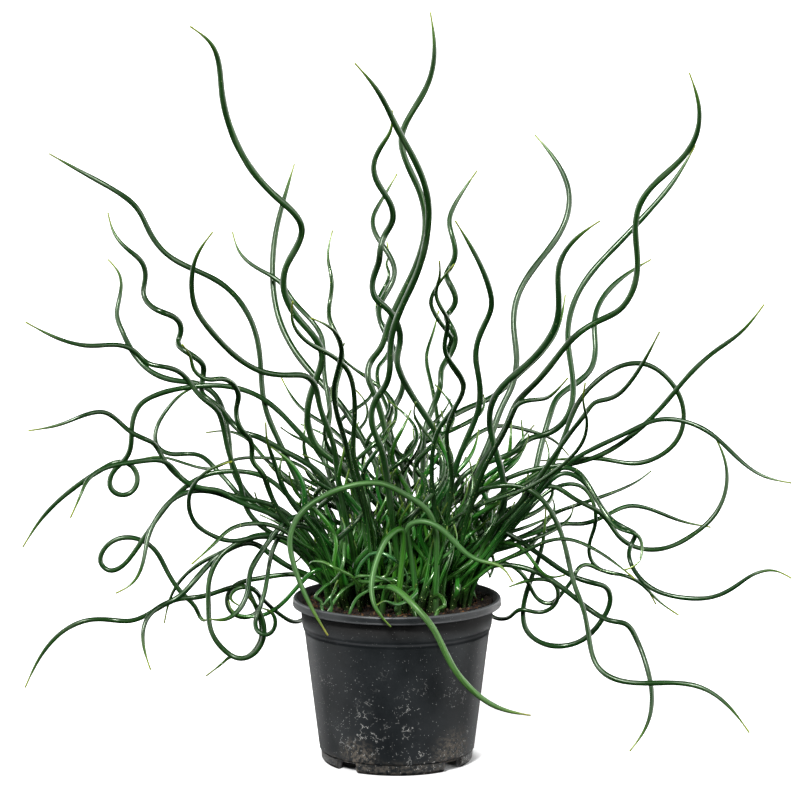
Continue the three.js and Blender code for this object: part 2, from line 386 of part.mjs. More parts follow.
// Each crown: its place on the soil, the thinner stems that grow from it, and how many short ones.
const CROWNS = [
  {
    place: [-9, -12],
    shoots: 2,
    stems: [
      {
        diameter: 3,
        depth: -185,
        route: [
          [-53, 279.6], [-45, 276], [-38, 270.5], [-34.5, 262], [-36, 250], [-39, 238],
          [-38.5, 226], [-35, 212], [-31, 198], [-27, 180], [-20, 158], [-12, 132],
        ],
      },
      {
        diameter: 3.1,
        depth: -150,
        route: [
          [-64.6, 290], [-64, 279], [-61.5, 270], [-50, 261.7], [-37.5, 254], [-29.5, 245],
          [-26.7, 232], [-26.4, 218], [-27, 205], [-26.5, 190], [-22, 172], [-17, 150],
        ],
      },
    ],
  },
  {
    place: [20, -15],
    shoots: 3,
    stems: [
      {
        diameter: 2.9,
        depth: -170,
        route: [
          [35.4, 313], [29.2, 305], [22.5, 295.5], [21.5, 285.5], [29, 275], [33.5, 266],
          [31, 257], [35, 248], [40.5, 240], [40.6, 232], [36, 224], [29, 214.5], [24, 205],
          [22, 192], [22, 175], [24, 150],
        ],
      },
      {
        diameter: 2.8,
        depth: -190,
        route: [
          [26.3, 315], [26.5, 306], [24.3, 297], [25.5, 288.5], [30.5, 281.5], [31.5, 273],
          [29.2, 264.5], [31, 256], [37.5, 246.5], [41.7, 237.5], [38.5, 228], [33.5, 217],
          [31, 205], [33, 192], [34, 176], [32, 155],
        ],
      },
    ],
  },
  {
    place: [35, -9],
    shoots: 2,
    stems: [
      {
        diameter: 3.1,
        depth: -140,
        route: [
          [106, 242], [100, 235], [94, 230], [88, 228.3], [80, 228.2], [74, 223.5],
          [69.5, 213.5], [62.5, 200], [56, 188], [50, 174], [45, 157], [40, 138],
        ],
      },
      {
        diameter: 2.4,
        depth: -120,
        route: [
          [148.5, 115.5], [139, 123.5], [127, 131.5], [115, 138.3], [103, 140.5], [91, 138],
          [80, 132.5], [69, 127.3], [58, 122],
        ],
      },
      {
        diameter: 3.1,
        depth: -90,
        route: [
          [142.5, 120.7], [148.5, 122.5], [152.5, 129], [153.2, 137], [149.5, 143.8],
          [142, 145.8], [136, 149.5], [129, 158.5], [124.5, 165.5], [118, 177], [109, 185],
          [101, 185.5], [92, 177.5], [82, 165.5], [71, 152.5], [61, 139],
        ],
      },
    ],
  },
  {
    place: [-29, -11],
    shoots: 2,
    stems: [
      {
        diameter: 3,
        depth: -10,
        route: [
          [-105.5, 101], [-104.5, 95.5], [-99.5, 91.8], [-92, 91], [-84, 91.8],
          [-77.5, 95.5], [-71, 100.3], [-66, 106], [-61, 112], [-55, 117], [-48, 121],
        ],
      },
      {
        diameter: 3.3,
        depth: -130,
        route: [
          [-133.2, 263], [-128.5, 256], [-126.3, 247.5], [-119, 241.5], [-109, 241.5],
          [-101, 237.5], [-98.4, 228.5], [-100.3, 217], [-95.5, 209], [-90.6, 200],
          [-90.2, 190.5], [-84, 182], [-79.6, 171], [-75, 160], [-66, 148], [-54, 134],
        ],
      },
      {
        diameter: 3.3,
        depth: -90,
        route: [
          [-81.7, 214], [-81.8, 206], [-79, 198], [-76.7, 188], [-73, 178], [-67, 166],
          [-58, 154], [-47, 140],
        ],
      },
      {
        diameter: 3,
        depth: -100,
        route: [
          [-128.5, 124.5], [-121, 130.5], [-115, 136.5], [-107, 145], [-96, 149.5],
          [-82, 149.8], [-69, 145], [-57, 136],
        ],
      },
    ],
  },
  {
    place: [4, 0],
    shoots: 5,
    stems: [
      {
        diameter: 2.3,
        depth: -140,
        route: [
          [117, 239], [115.5, 231], [117.5, 221], [118, 211], [114.5, 199.5], [106, 190],
          [95, 181], [80, 172], [62, 166], [44, 158], [28, 148], [17, 134],
        ],
      },
    ],
  },
  {
    place: [-8, 38],
    shoots: 3,
    stems: [
      {
        diameter: 2.9,
        depth: 180,
        route: [
          [-6.2, 327], [-4.8, 320], [-6.5, 313], [-4.8, 305], [-9.5, 296], [-12.5, 286],
          [-9.5, 276], [-4, 266], [-6, 256], [-11.5, 249], [-12, 240], [-9, 230], [-5, 218],
          [-6, 205], [-9, 190], [-11, 170], [-12, 148],
        ],
      },
      {
        diameter: 2.7,
        depth: 190,
        route: [
          [-71.7, 242], [-66, 231.5], [-59, 222.5], [-50, 216.5], [-41.7, 210.8],
          [-34, 203.5], [-28, 192], [-25, 177], [-24, 156],
        ],
      },
    ],
  },
  {
    place: [18, 39],
    shoots: 3,
    stems: [
      {
        diameter: 3.1,
        depth: 170,
        route: [
          [25.8, 284], [23.8, 274], [19.5, 262.5], [18.3, 251], [21, 240.5], [23.3, 229],
          [24.5, 219], [27, 207.5], [29.5, 196], [31, 182], [30, 165], [28, 148],
        ],
      },
      {
        diameter: 3.7,
        depth: 160,
        route: [
          [104.2, 294], [102.5, 282], [98, 270], [90, 258.5], [78.5, 246.5], [68, 238],
          [59, 230], [50.5, 225.5], [41.7, 222.5], [33.3, 217.5], [25, 210.5], [18, 203],
          [13, 193], [12, 178], [16, 158], [22, 138],
        ],
      },
    ],
  },
  {
    place: [33, 34],
    shoots: 3,
    stems: [
      {
        diameter: 2.7,
        depth: 150,
        route: [
          [85.5, 212.5], [81.5, 209], [77.5, 202.5], [73, 196.5], [66, 187], [58, 174],
          [50, 158], [43, 142],
        ],
      },
      {
        diameter: 2.8,
        depth: 150,
        route: [
          [107, 193.5], [103, 198.5], [96, 204], [88, 207.3], [78, 210], [69, 211.8],
          [60, 211.5], [51, 207.5], [44, 201], [38, 190], [31, 176], [24, 160], [16, 142],
        ],
      },
    ],
  },
  {
    place: [42, 21],
    shoots: 2,
    stems: [
      {
        diameter: 2.6,
        depth: 60,
        route: [
          [162.3, 99], [158.5, 106.5], [151, 113.3], [141, 117.7], [130, 119.8],
          [124, 123.5], [120.3, 130.5], [120.5, 138], [123.3, 147], [124, 157], [121, 167.5],
          [114, 174.5], [105, 175], [95, 171], [86, 163], [77, 152.5], [66, 140], [55, 127],
        ],
      },
      {
        diameter: 2.7,
        depth: 30,
        route: [
          [176.5, 92], [166, 99], [157, 108.5], [147, 115.7], [136, 118.6], [127, 121],
          [120, 124], [113.5, 121.8], [109.5, 114], [103, 105.5], [95, 99], [88, 102.5],
          [82.5, 112], [76, 120.2], [67, 125.5], [57, 124],
        ],
      },
      {
        diameter: 2.9,
        depth: 70,
        route: [
          [196, 148], [183, 150], [170, 155], [156, 160], [146, 161.5], [137, 159],
          [127, 153.5], [115, 150], [104, 150], [94, 147], [82, 142.5], [70, 138.5],
          [59, 131],
        ],
      },
    ],
  },
  {
    place: [-30, 35],
    shoots: 2,
    stems: [
      {
        diameter: 3.1,
        depth: 40,
        route: [
          [-120, 53], [-112, 58.8], [-104.5, 65.2], [-96, 64.8], [-88.5, 70.5], [-85, 80],
          [-86, 90], [-89, 99], [-93, 107], [-92.5, 116], [-89, 125.5], [-82.5, 135.5],
          [-76, 144], [-68, 152], [-60, 154], [-50, 150], [-42, 138],
        ],
      },
      {
        diameter: 2.2,
        depth: 140,
        route: [
          [-163, 190], [-152, 192.6], [-140, 190.7], [-126, 186.6], [-116, 185], [-107, 189],
          [-95, 191.7], [-80, 191.6], [-66, 189.5], [-56, 184], [-48, 173], [-44, 156],
        ],
      },
      {
        diameter: 2.9,
        depth: 90,
        route: [
          [-146, 87], [-144, 98], [-138, 110], [-129, 121], [-119, 127.5], [-106, 133.5],
          [-95, 140.5], [-81, 143.3], [-70, 141], [-58, 132.5],
        ],
      },
      {
        diameter: 2.6,
        depth: 120,
        route: [
          [-118.7, 207.7], [-110, 209], [-98, 206.8], [-90, 200.5], [-82, 191], [-74, 184],
          [-66, 178], [-58, 170], [-50, 158], [-40, 142],
        ],
      },
    ],
  },
  {
    place: [-20, 24],
    shoots: 4,
    stems: [
      {
        diameter: 3.4,
        depth: 90,
        route: [
          [-39.8, 334], [-42.3, 323], [-42.3, 312], [-40, 300], [-41.5, 290], [-42.2, 281],
          [-38, 270.5], [-34, 260], [-34.8, 250], [-37.6, 238], [-38, 226], [-36.4, 214],
          [-32.5, 203], [-30.5, 192], [-29, 178], [-25, 160], [-22, 140],
        ],
      },
      {
        diameter: 2.6,
        depth: 120,
        route: [
          [-26, 235], [-20.5, 228.5], [-18.2, 220.5], [-21, 212.5], [-28, 205], [-30, 192],
          [-24, 175], [-16, 152], [-11, 130],
        ],
      },
    ],
  },
  {
    place: [14, 20],
    shoots: 4,
    stems: [
      {
        diameter: 2.7,
        depth: -28,
        route: [
          [105, 117.5], [97, 116], [91, 119], [86, 125], [81, 131.5], [75, 136.5], [67, 138],
          [58, 134.5],
        ],
      },
      {
        diameter: 2.7,
        depth: 60,
        route: [
          [10, 210], [11, 203], [9, 193], [5, 182], [4, 168], [6, 150],
        ],
      },
    ],
  },
];

// The short stems round the middle, whose number for each crown is above.
const SHOOT_SEED = 25;
const SHOOT_DIAMETER = [3, 4];
const SHOOT_LENGTH = [62, 120];
const SHOOT_STEP = 9;
const SHOOT_COIL = [4, 8]; // radius of its corkscrew
const SHOOT_PITCH = [50, 72];
const SHOOT_LEAN = 0.55; // how much the outer shoots lean away from the middle
const SHOOT_STRAY = 0.16; // how much any of them leans its own way
const SHOOT_ROOT = 2.4; // distance of its root from the middle of the crown
const SHOOT_GROWN = 45; // length after which its corkscrew is at its full radius
const SHOOT_TAPER = 0.6; // its tip is shorter than a long stem's by this

const wasm = await Module();
wasm.setup();

// ---- Helpers ----------------------------------------------------------------------------------

// A closed three.js geometry as a manifold-3d solid.
function solid(geometry) {
  const plain = geometry.clone();
  plain.deleteAttribute("normal");
  plain.deleteAttribute("uv");
  const welded = mergeVertices(plain, 1e-4);
  const corners = welded.index.array;
  const triangles = [];
  for (let i = 0; i < corners.length; i += 3) {
    const [a, b, c] = corners.subarray(i, i + 3);
    if (a !== b && b !== c && c !== a) {
      triangles.push(a, b, c);
    }
  }
  return new wasm.Manifold(
    new wasm.Mesh({
      numProp: 3,
      vertProperties: new Float32Array(welded.attributes.position.array),
      triVerts: new Uint32Array(triangles),
    }),
  );
}

// A manifold-3d solid as a three.js geometry.
function geometryOf(body) {
  const mesh = body.getMesh();
  const positions = new Float32Array(mesh.numVert * 3);
  for (let i = 0; i < mesh.numVert; i++) {
    const start = i * mesh.numProp;
    positions.set(mesh.vertProperties.subarray(start, start + 3), i * 3);
  }
  const geometry = new THREE.BufferGeometry();
  geometry.setAttribute("position", new THREE.BufferAttribute(positions, 3));
  geometry.setIndex(new THREE.BufferAttribute(new Uint32Array(mesh.triVerts), 1));
  geometry.computeVertexNormals();
  return geometry;
}

// A body of revolution about Z from [radius, z] pairs, which start and end on the axis or meet.
function turned(profile, sides) {
  const points = profile.map(([radius, z]) => new THREE.Vector2(radius, z));
  const geometry = new THREE.LatheGeometry(points, sides);
  geometry.rotateX(Math.PI / 2);
  return geometry;
}

// An upright prism about (x, y) between two heights.
function prism(radius, sides, x, y, bottom, top) {
  const geometry = new THREE.CylinderGeometry(radius, radius, top - bottom, sides);
  geometry.rotateX(Math.PI / 2);
  geometry.translate(x, y, (bottom + top) / 2);
  return geometry;
}

// Repeatable random numbers between 0 and 1 (mulberry32).
function randomNumbers(seed) {
  let state = seed;
  return () => {
    state = (state + 0x6d2b79f5) | 0;
    let t = Math.imul(state ^ (state >>> 15), 1 | state);
    t = (t + Math.imul(t ^ (t >>> 7), 61 | t)) ^ t;
    return ((t ^ (t >>> 14)) >>> 0) / 4294967296;
  };
}

function between([low, high], share) {
  return low + (high - low) * share;
}

// The place in space of a waypoint at a depth, and the waypoint under which a place is seen.
function placed(u, w, depth) {
  const scale = 1 - depth / VIEWPOINT.y;
  const x = VIEWPOINT.x + (u - VIEWPOINT.x) * scale;
  const z = VIEWPOINT.z + (w - VIEWPOINT.z) * scale;
  return new THREE.Vector3(x, depth, z);
}

function seenAt(place) {
  const scale = 1 - place.y / VIEWPOINT.y;
  const u = VIEWPOINT.x + (place.x - VIEWPOINT.x) / scale;
  const w = VIEWPOINT.z + (place.z - VIEWPOINT.z) / scale;
  return new THREE.Vector3(u, place.y, w);
}

// ---- Pot --------------------------------------------------------------------------------------

function makePot() {
  const z = POT_HEIGHT;
  const innerCollar = COLLAR_FOOT_RADIUS - WALL;
  const shell = turned(
    [
      [FLOOR_RING_INNER, 0],
      [FLOOR_RING_RADIUS, 0],
      [FOOT_RING_RADIUS - 0.4, 2],
      [FOOT_RING_RADIUS, FOOT_RING_Z],
      [BODY_FOOT_RADIUS, BODY_FOOT_Z],
      [BODY_TOP_RADIUS, BODY_TOP_Z],
      [COLLAR_FOOT_RADIUS, COLLAR_FOOT_Z],
      [COLLAR_TOP_RADIUS, z - RIM_BAND],
      [RIM_RADIUS - 0.4, z - RIM_BAND],
      [RIM_RADIUS, z - RIM_BAND + 1],
      [RIM_RADIUS, z - 1.2],
      [RIM_RADIUS - 0.9, z],
      [MOUTH_RADIUS, z],
      [COLLAR_TOP_RADIUS - WALL, z - RIM_BAND - 0.5],
      [innerCollar, COLLAR_FOOT_Z],
      [BODY_TOP_RADIUS - WALL, BODY_TOP_Z],
      [BODY_FOOT_RADIUS - WALL, BASE_UNDERSIDE_Z + BASE_THICKNESS],
      [0, BASE_UNDERSIDE_Z + BASE_THICKNESS],
      [0, BASE_UNDERSIDE_Z],
      [FLOOR_RING_INNER - 0.4, BASE_UNDERSIDE_Z],
      [FLOOR_RING_INNER, 0],
    ],
    POT_SIDES,
  );
  let body = solid(shell);
  for (let i = 0; i < NOTCH_COUNT; i++) {
    const angle = ((i + 0.5) / NOTCH_COUNT) * 2 * Math.PI + NOTCH_TURN;
    const notch = new THREE.BoxGeometry(20, NOTCH_WIDTH, NOTCH_HEIGHT + 10);
    notch.translate(FLOOR_RING_RADIUS, 0, NOTCH_HEIGHT / 2 - 5);
    notch.rotateZ(angle);
    body = body.subtract(solid(notch));
    const x = DRAIN_RING_RADIUS * Math.cos(angle);
    const y = DRAIN_RING_RADIUS * Math.sin(angle);
    body = body.subtract(solid(prism(DRAIN_RADIUS, DRAIN_SIDES, x, y, 0, 20)));
  }
  return body;
}

// ---- Soil -------------------------------------------------------------------------------------

function soilHeight(x, y) {
  const wide = Math.sin(0.11 * x + 0.8) * Math.cos(0.13 * y - 0.4);
  const fine = Math.sin(0.31 * x - 0.27 * y) * Math.cos(0.23 * x + 0.35 * y);
  const dished = (x * x + y * y) / 3600;
  return SOIL_TOP_Z + SOIL_UNEVENNESS * (wide + 0.6 * fine) - dished;
}

function makeSoil(holes) {
  const bottom = BASE_UNDERSIDE_Z + BASE_THICKNESS + FIT_GAP;
  const bodyTop = BODY_TOP_RADIUS - WALL - FIT_GAP;
  const collar = COLLAR_FOOT_RADIUS - WALL - FIT_GAP;
  const profile = [
    [0, bottom],
    [BODY_FOOT_RADIUS - WALL - FIT_GAP, bottom],
    [bodyTop, BODY_TOP_Z],
    [collar, COLLAR_FOOT_Z + 0.2],
    [collar, SOIL_TOP_Z - 1.5],
  ];
  for (const radius of SOIL_RINGS) {
    profile.push([radius, SOIL_TOP_Z]);
  }
  profile.push([0, SOIL_TOP_Z]);
  const plug = turned(profile, SOIL_SIDES);
  const position = plug.attributes.position;
  for (let i = 0; i < position.count; i++) {
    if (position.getZ(i) > SOIL_TOP_Z - 0.1) {
      position.setZ(i, soilHeight(position.getX(i), position.getY(i)));
    }
  }
  let body = solid(plug);
  for (const { x, y, radius, sides, depth } of holes) {
    const foot = soilHeight(x, y) - depth;
    body = body.subtract(solid(prism(radius, sides, x, y, foot, POT_HEIGHT)));
  }
  return body;
}

// ---- Routes -----------------------------------------------------------------------------------

// The centre line of a stem in layout space (u, depth, w), from its root to its tip. It leaves the
// soil upright.
function layoutCurve(stem) {
  const [x, y] = stem.root;
  const top = soilHeight(x, y);
  const foot = seenAt(new THREE.Vector3(x, y, top - ROUTE_DEPTH));
  const neck = seenAt(new THREE.Vector3(x, y, top + NECK));
  const waypoints = [...stem.route].reverse();
  const stations = [foot, neck];
  const known = [y, y];
  for (const [u, w, depth] of waypoints) {
    stations.push(new THREE.Vector3(u, 0, w));
    known.push(depth);
  }
  if (known[known.length - 1] === undefined) {
    known[known.length - 1] = stem.depth;
  }
  const along = [0];
  for (let i = 1; i < stations.length; i++) {
    const du = stations[i].x - stations[i - 1].x;
    const dw = stations[i].z - stations[i - 1].z;
    along.push(along[i - 1] + Math.hypot(du, dw));
  }
  let last = 1;
  for (let i = 2; i < stations.length; i++) {
    if (known[i] === undefined) {
      continue;
    }
    for (let j = last + 1; j <= i; j++) {
      const share = (along[j] - along[last]) / (along[i] - along[last]);
      const late = share * share * (1 + DEPTH_EASE - DEPTH_EASE * share);
      const eased = i - last > 3 ? late : share;
      stations[j].y = known[last] + (known[i] - known[last]) * eased;
    }
    last = i;
  }
  return new THREE.CatmullRomCurve3(stations, false, "centripetal");
}

// Adds the third dimension of the corkscrew: where a stem swings across its own mean course, it is
// a quarter turn on in depth.
function coiled(points) {
  const step = points[1].distanceTo(points[0]);
  const reach = Math.max(2, Math.round(COIL_WINDOW / step));
  const smooth = points.map((_, i) => {
    const mean = new THREE.Vector3();
    let total = 0;
    for (let k = -reach; k <= reach; k++) {
      const j = Math.min(points.length - 1, Math.max(0, i + k));
      const weight = Math.exp(-2 * (k / reach) ** 2);
      mean.addScaledVector(points[j], weight);
      total += weight;
    }
    return mean.divideScalar(total);
  });
  return points.map((point, i) => {
    const before = Math.max(0, i - 1);
    const after = Math.min(points.length - 1, i + 1);
    const own = points[after].clone().sub(points[before]);
    const mean = smooth[after].clone().sub(smooth[before]);
    const cross = own.x * mean.z - own.z * mean.x;
    const swing = cross / (Math.hypot(own.x, own.z) * Math.hypot(mean.x, mean.z) + 1e-9);
    const free = Math.min(1, Math.max(0, (i * step - COIL_FROM) / COIL_GROWN));
    const moved = point.clone();
    moved.y += COIL_REACH * swing * free;
    return moved;
  });
}

// Chooses the rings of a stem along its dense centre line: close together in a tight curl.
function ringPlaces(points) {
  const cost = [0];
  for (let i = 1; i < points.length; i++) {
    const step = points[i].distanceTo(points[i - 1]);
    const a = points[Math.max(0, i - 2)];
    const b = points[Math.min(points.length - 1, i + 2)];
    const first = points[i].clone().sub(a);
    const second = b.clone().sub(points[i]);
    const turn = first.lengthSq() > 0 && second.lengthSq() > 0 ? first.angleTo(second) : 0;
    const bend = turn / Math.max(1e-6, (first.length() + second.length()) / 2);
    const longest = Math.sqrt((8 * RING_SAG) / Math.max(bend, 1e-5));
    const spacing = Math.min(RING_LONGEST, Math.max(RING_SHORTEST, longest));
    cost.push(cost[i - 1] + step / spacing);
  }
  const total = cost[cost.length - 1];
  const count = Math.ceil(total);
  const rings = [];
  let j = 0;
  for (let k = 0; k <= count; k++) {
    const want = (total * k) / count;
    while (j < cost.length - 2 && cost[j + 1] < want) {
      j += 1;
    }
    const share = (want - cost[j]) / Math.max(1e-9, cost[j + 1] - cost[j]);
    rings.push(points[j].clone().lerp(points[j + 1], Math.min(1, share)));
  }
  return rings;
}

// A stem ready to bend: the rings of its centre line in layout space, their distance along it from
// the root, their radii, and how freely each can move.
function prepare(stem) {
  const curve = layoutCurve(stem);
  const steps = Math.max(12, Math.round(curve.getLength() / ROUTE_STEP));
  const neck = curve.points[1];
  const dense = curve.getSpacedPoints(steps);
  dense.splice(0, dense.findIndex((place) => place.z > neck.z + 1), neck);
  const fixed = stem.route.some((waypoint) => waypoint.length > 2);
  const rings = ringPlaces(fixed ? dense : coiled(dense));
  const [x, y] = stem.root;
  const sunk = stem.crown === undefined ? ROOT_DEPTH : CROWN_ROOT_DEPTH;
  rings.unshift(seenAt(new THREE.Vector3(x, y, soilHeight(x, y) - sunk)));
  const along = [0];
  for (let i = 1; i < rings.length; i++) {
    along.push(along[i - 1] + rings[i].distanceTo(rings[i - 1]));
  }
  const length = along[along.length - 1];
  const base = stem.diameter / 2;
  const taper = stem.short ? TIP_TAPER * SHOOT_TAPER : TIP_TAPER;
  const radii = along.map((s) => Math.max(TIP_RADIUS, base * (1 - Math.exp(-(length - s) / taper))));
  const freedom = along.map((s) => Math.min(1, Math.max(0, (s - along[1]) / FREE_FROM)));
  return { ...stem, rings, along, radii, freedom };
}

// A short stem of a crown, laid out in space and then turned into waypoints with depths.
function shoot(crown, random) {
  const [x, y] = crown.place;
  const angle = random() * 2 * Math.PI;
  const lean = new THREE.Vector2(x, y * 0.7).multiplyScalar(SHOOT_LEAN / 40);
  lean.x += SHOOT_STRAY * Math.cos(angle);
  lean.y += SHOOT_STRAY * Math.sin(angle);
  const length = between(SHOOT_LENGTH, random());
  const coil = between(SHOOT_COIL, random());
  const pitch = between(SHOOT_PITCH, random());
  const phase = random() * 2 * Math.PI;
  const diameter = between(SHOOT_DIAMETER, random());
  const root = [x + SHOOT_ROOT * Math.cos(angle), y + SHOOT_ROOT * Math.sin(angle)];
  const start = soilHeight(x, y) + 3;
  const route = [];
  const count = Math.round(length / SHOOT_STEP);
  for (let i = 2; i <= count; i++) {
    const s = i * SHOOT_STEP;
    const grown = Math.min(1, s / SHOOT_GROWN);
    const out = s * (0.55 + (0.45 * s) / SHOOT_LENGTH[1]);
    const turn = phase + (2 * Math.PI * s) / pitch;
    const place = new THREE.Vector3(
      root[0] + lean.x * out + coil * grown * Math.cos(turn),
      root[1] + lean.y * out + coil * grown * Math.sin(turn),
      start + s * Math.sqrt(Math.max(0.3, 1 - lean.lengthSq() * 0.9)),
    );
    const seen = seenAt(place);
    route.unshift([seen.x, seen.z, seen.y]);
  }
  return { root, diameter, route, short: true };
}

// ---- Bending clear ----------------------------------------------------------------------------

// Nearest points of two straight pieces p-q and r-s: shares along each, and the gap.
function nearest(p, q, r, s) {
  const d1 = q.clone().sub(p);
  const d2 = s.clone().sub(r);
  const apart = p.clone().sub(r);
  const a = d1.lengthSq();
  const e = d2.lengthSq();
  const f = d2.dot(apart);
  const c = d1.dot(apart);
  const b = d1.dot(d2);
  const denominator = a * e - b * b;
  let t = denominator > 1e-9 ? (b * f - c * e) / denominator : 0.5;
  t = Math.min(1, Math.max(0, t));
  let u = Math.min(1, Math.max(0, (b * t + f) / e));
  t = Math.min(1, Math.max(0, (b * u - c) / a));
  u = Math.min(1, Math.max(0, (b * t + f) / e));
  const first = p.clone().addScaledVector(d1, t);
  const second = r.clone().addScaledVector(d2, u);
  return { t, u, gap: first.distanceTo(second) };
}

// The pairs of straight pieces that lie over each other as seen from the viewpoint, gathered into
// crossings. Each crossing keeps which of its two stems passes behind.
function findCrossings(stems) {
  const pieces = [];
  stems.forEach((stem, index) => {
    for (let i = 0; i + 1 < stem.rings.length; i++) {
      if (stem.freedom[i + 1] > 0) {
        pieces.push({ stem, index, i, middle: (stem.along[i] + stem.along[i + 1]) / 2 });
      }
    }
  });
  const flat = (v) => new THREE.Vector3(v.x, 0, v.z);
  const pairs = [];
  for (let m = 0; m < pieces.length; m++) {
    const a = pieces[m];
    const a0 = flat(a.stem.rings[a.i]);
    const a1 = flat(a.stem.rings[a.i + 1]);
    for (let n = m + 1; n < pieces.length; n++) {
      const b = pieces[n];
      const room = a.stem.radii[a.i] + b.stem.radii[b.i] + CLEARANCE + CROSSING_MARGIN;
      const b0 = b.stem.rings[b.i];
      const b1 = b.stem.rings[b.i + 1];
      if (Math.min(b0.x, b1.x) - room > Math.max(a0.x, a1.x)) continue;
      if (Math.max(b0.x, b1.x) + room < Math.min(a0.x, a1.x)) continue;
      if (Math.min(b0.z, b1.z) - room > Math.max(a0.z, a1.z)) continue;
      if (Math.max(b0.z, b1.z) + room < Math.min(a0.z, a1.z)) continue;
      const own = a.stem === b.stem;
      if (own && Math.abs(a.middle - b.middle) < SELF_SPAN) continue;
      const crown = a.stem.crown !== undefined && a.stem.crown === b.stem.crown;
      if (crown && Math.max(a.middle, b.middle) < CROWN_SPAN) continue;
      if (nearest(a0, a1, flat(b0), flat(b1)).gap < room) {
        pairs.push({ a, b });
      }
    }
  }
  const open = new Map();
  const crossings = [];
  for (const pair of pairs) {
    const key = pair.a.index * 1000 + pair.b.index;
    const known = open.get(key) || [];
    let crossing = known.find((one) =>
      one.pairs.some(
        ({ a, b }) =>
          Math.abs(a.middle - pair.a.middle) < CROSSING_SPAN &&
          Math.abs(b.middle - pair.b.middle) < CROSSING_SPAN,
      ),
    );
    if (!crossing) {
      crossing = { pairs: [], lead: 0 };
      known.push(crossing);
      crossings.push(crossing);
      open.set(key, known);
    }
    crossing.pairs.push(pair);
    const first = pair.a.stem.rings;
    const second = pair.b.stem.rings;
    crossing.lead += first[pair.a.i].y + first[pair.a.i + 1].y;
    crossing.lead -= second[pair.b.i].y + second[pair.b.i + 1].y;
  }
  return crossings;
}

// Moves the stems apart in depth until no two of them touch.
function bendClear(stems) {
  const crossings = findCrossings(stems);
  for (let round = 0; round < BEND_ROUNDS; round++) {
    const pushes = new Map(stems.map((stem) => [stem, []]));
    let worst = 0;
    for (const { pairs, lead } of crossings) {
      const sign = lead >= 0 ? 1 : -1;
      for (const { a, b } of pairs) {
        const a0 = a.stem.places[a.i];
        const a1 = a.stem.places[a.i + 1];
        const b0 = b.stem.places[b.i];
        const b1 = b.stem.places[b.i + 1];
        const { t, u, gap } = nearest(a0, a1, b0, b1);
        const need = a.stem.radii[a.i] + b.stem.radii[b.i] + CLEARANCE;
        const ahead = sign * (a0.y + (a1.y - a0.y) * t - (b0.y + (b1.y - b0.y) * u));
        if (ahead > 0 && gap >= need) continue;
        const lack = ahead > 0 ? need - gap : need - ahead;
        const sa = a.stem.along[a.i] + (a.stem.along[a.i + 1] - a.stem.along[a.i]) * t;
        const sb = b.stem.along[b.i] + (b.stem.along[b.i + 1] - b.stem.along[b.i]) * u;
        const fa = a.stem.freedom[a.i] * (1 - t) + a.stem.freedom[a.i + 1] * t;
        const fb = b.stem.freedom[b.i] * (1 - u) + b.stem.freedom[b.i + 1] * u;
        if (fa + fb < 1e-3) continue;
        worst = Math.max(worst, lack);
        const each = (sign * lack) / (fa + fb);
        pushes.get(a.stem).push([sa, (each * fa) / Math.max(fa, LEAST_FREEDOM)]);
        pushes.get(b.stem).push([sb, (-each * fb) / Math.max(fb, LEAST_FREEDOM)]);
      }
    }
    if (worst < 0.02) {
      break;
    }
    for (const stem of stems) {
      const list = pushes.get(stem);
      if (!list.length) continue;
      stem.rings.forEach((ring, i) => {
        let back = 0;
        let forward = 0;
        for (const [s, push] of list) {
          const away = (stem.along[i] - s) / BEND_SPREAD;
          const moved = push * Math.exp(-away * away);
          back = Math.max(back, moved);
          forward = Math.min(forward, moved);
        }
        ring.y += PUSH_SHARE * (back + forward) * stem.freedom[i];
      });
      stem.places = stem.rings.map((ring) => placed(ring.x, ring.z, ring.y));
    }
  }
}

// Moves root places apart on the soil until every stem and crown has its own plain hole.
function spreadRoots(spots) {
  for (let round = 0; round < SPREAD_ROUNDS; round++) {
    for (let i = 0; i < spots.length; i++) {
      for (let j = i + 1; j < spots.length; j++) {
        const dx = spots[j].x - spots[i].x;
        const dy = spots[j].y - spots[i].y;
        const gap = Math.hypot(dx, dy);
        const lack = spots[i].radius + spots[j].radius + ROOT_GAP - gap;
        if (lack <= 0) continue;
        const ux = gap > 1e-6 ? dx / gap : 1;
        const uy = gap > 1e-6 ? dy / gap : 0;
        spots[i].x -= (ux * lack) / 2;
        spots[i].y -= (uy * lack) / 2;
        spots[j].x += (ux * lack) / 2;
        spots[j].y += (uy * lack) / 2;
      }
      const out = Math.hypot(spots[i].x, spots[i].y) / PLANTED_RADIUS;
      if (out > 1) {
        spots[i].x /= out;
        spots[i].y /= out;
      }
    }
  }
}

// ---- Stem bodies ------------------------------------------------------------------------------

// The curve through a stem's ring centres, stepped from ring to ring.
class StemCurve extends THREE.Curve {
  constructor(places) {
    super();
    this.places = places;
  }
  getPoint(t, target = new THREE.Vector3()) {
    const last = this.places.length - 1;
    const i = Math.min(last - 1, Math.floor(t * last));
    return target.copy(this.places[i]).lerp(this.places[i + 1], t * last - i);
  }
  getPointAt(u, target) {
    return this.getPoint(u, target);
  }
  getTangent(t, target = new THREE.Vector3()) {
    const last = this.places.length - 1;
    const i = Math.round(t * last);
    const before = this.places[Math.max(0, i - 1)];
    const after = this.places[Math.min(last, i + 1)];
    return target.copy(after).sub(before).normalize();
  }
  getTangentAt(u, target) {
    return this.getTangent(u, target);
  }
}

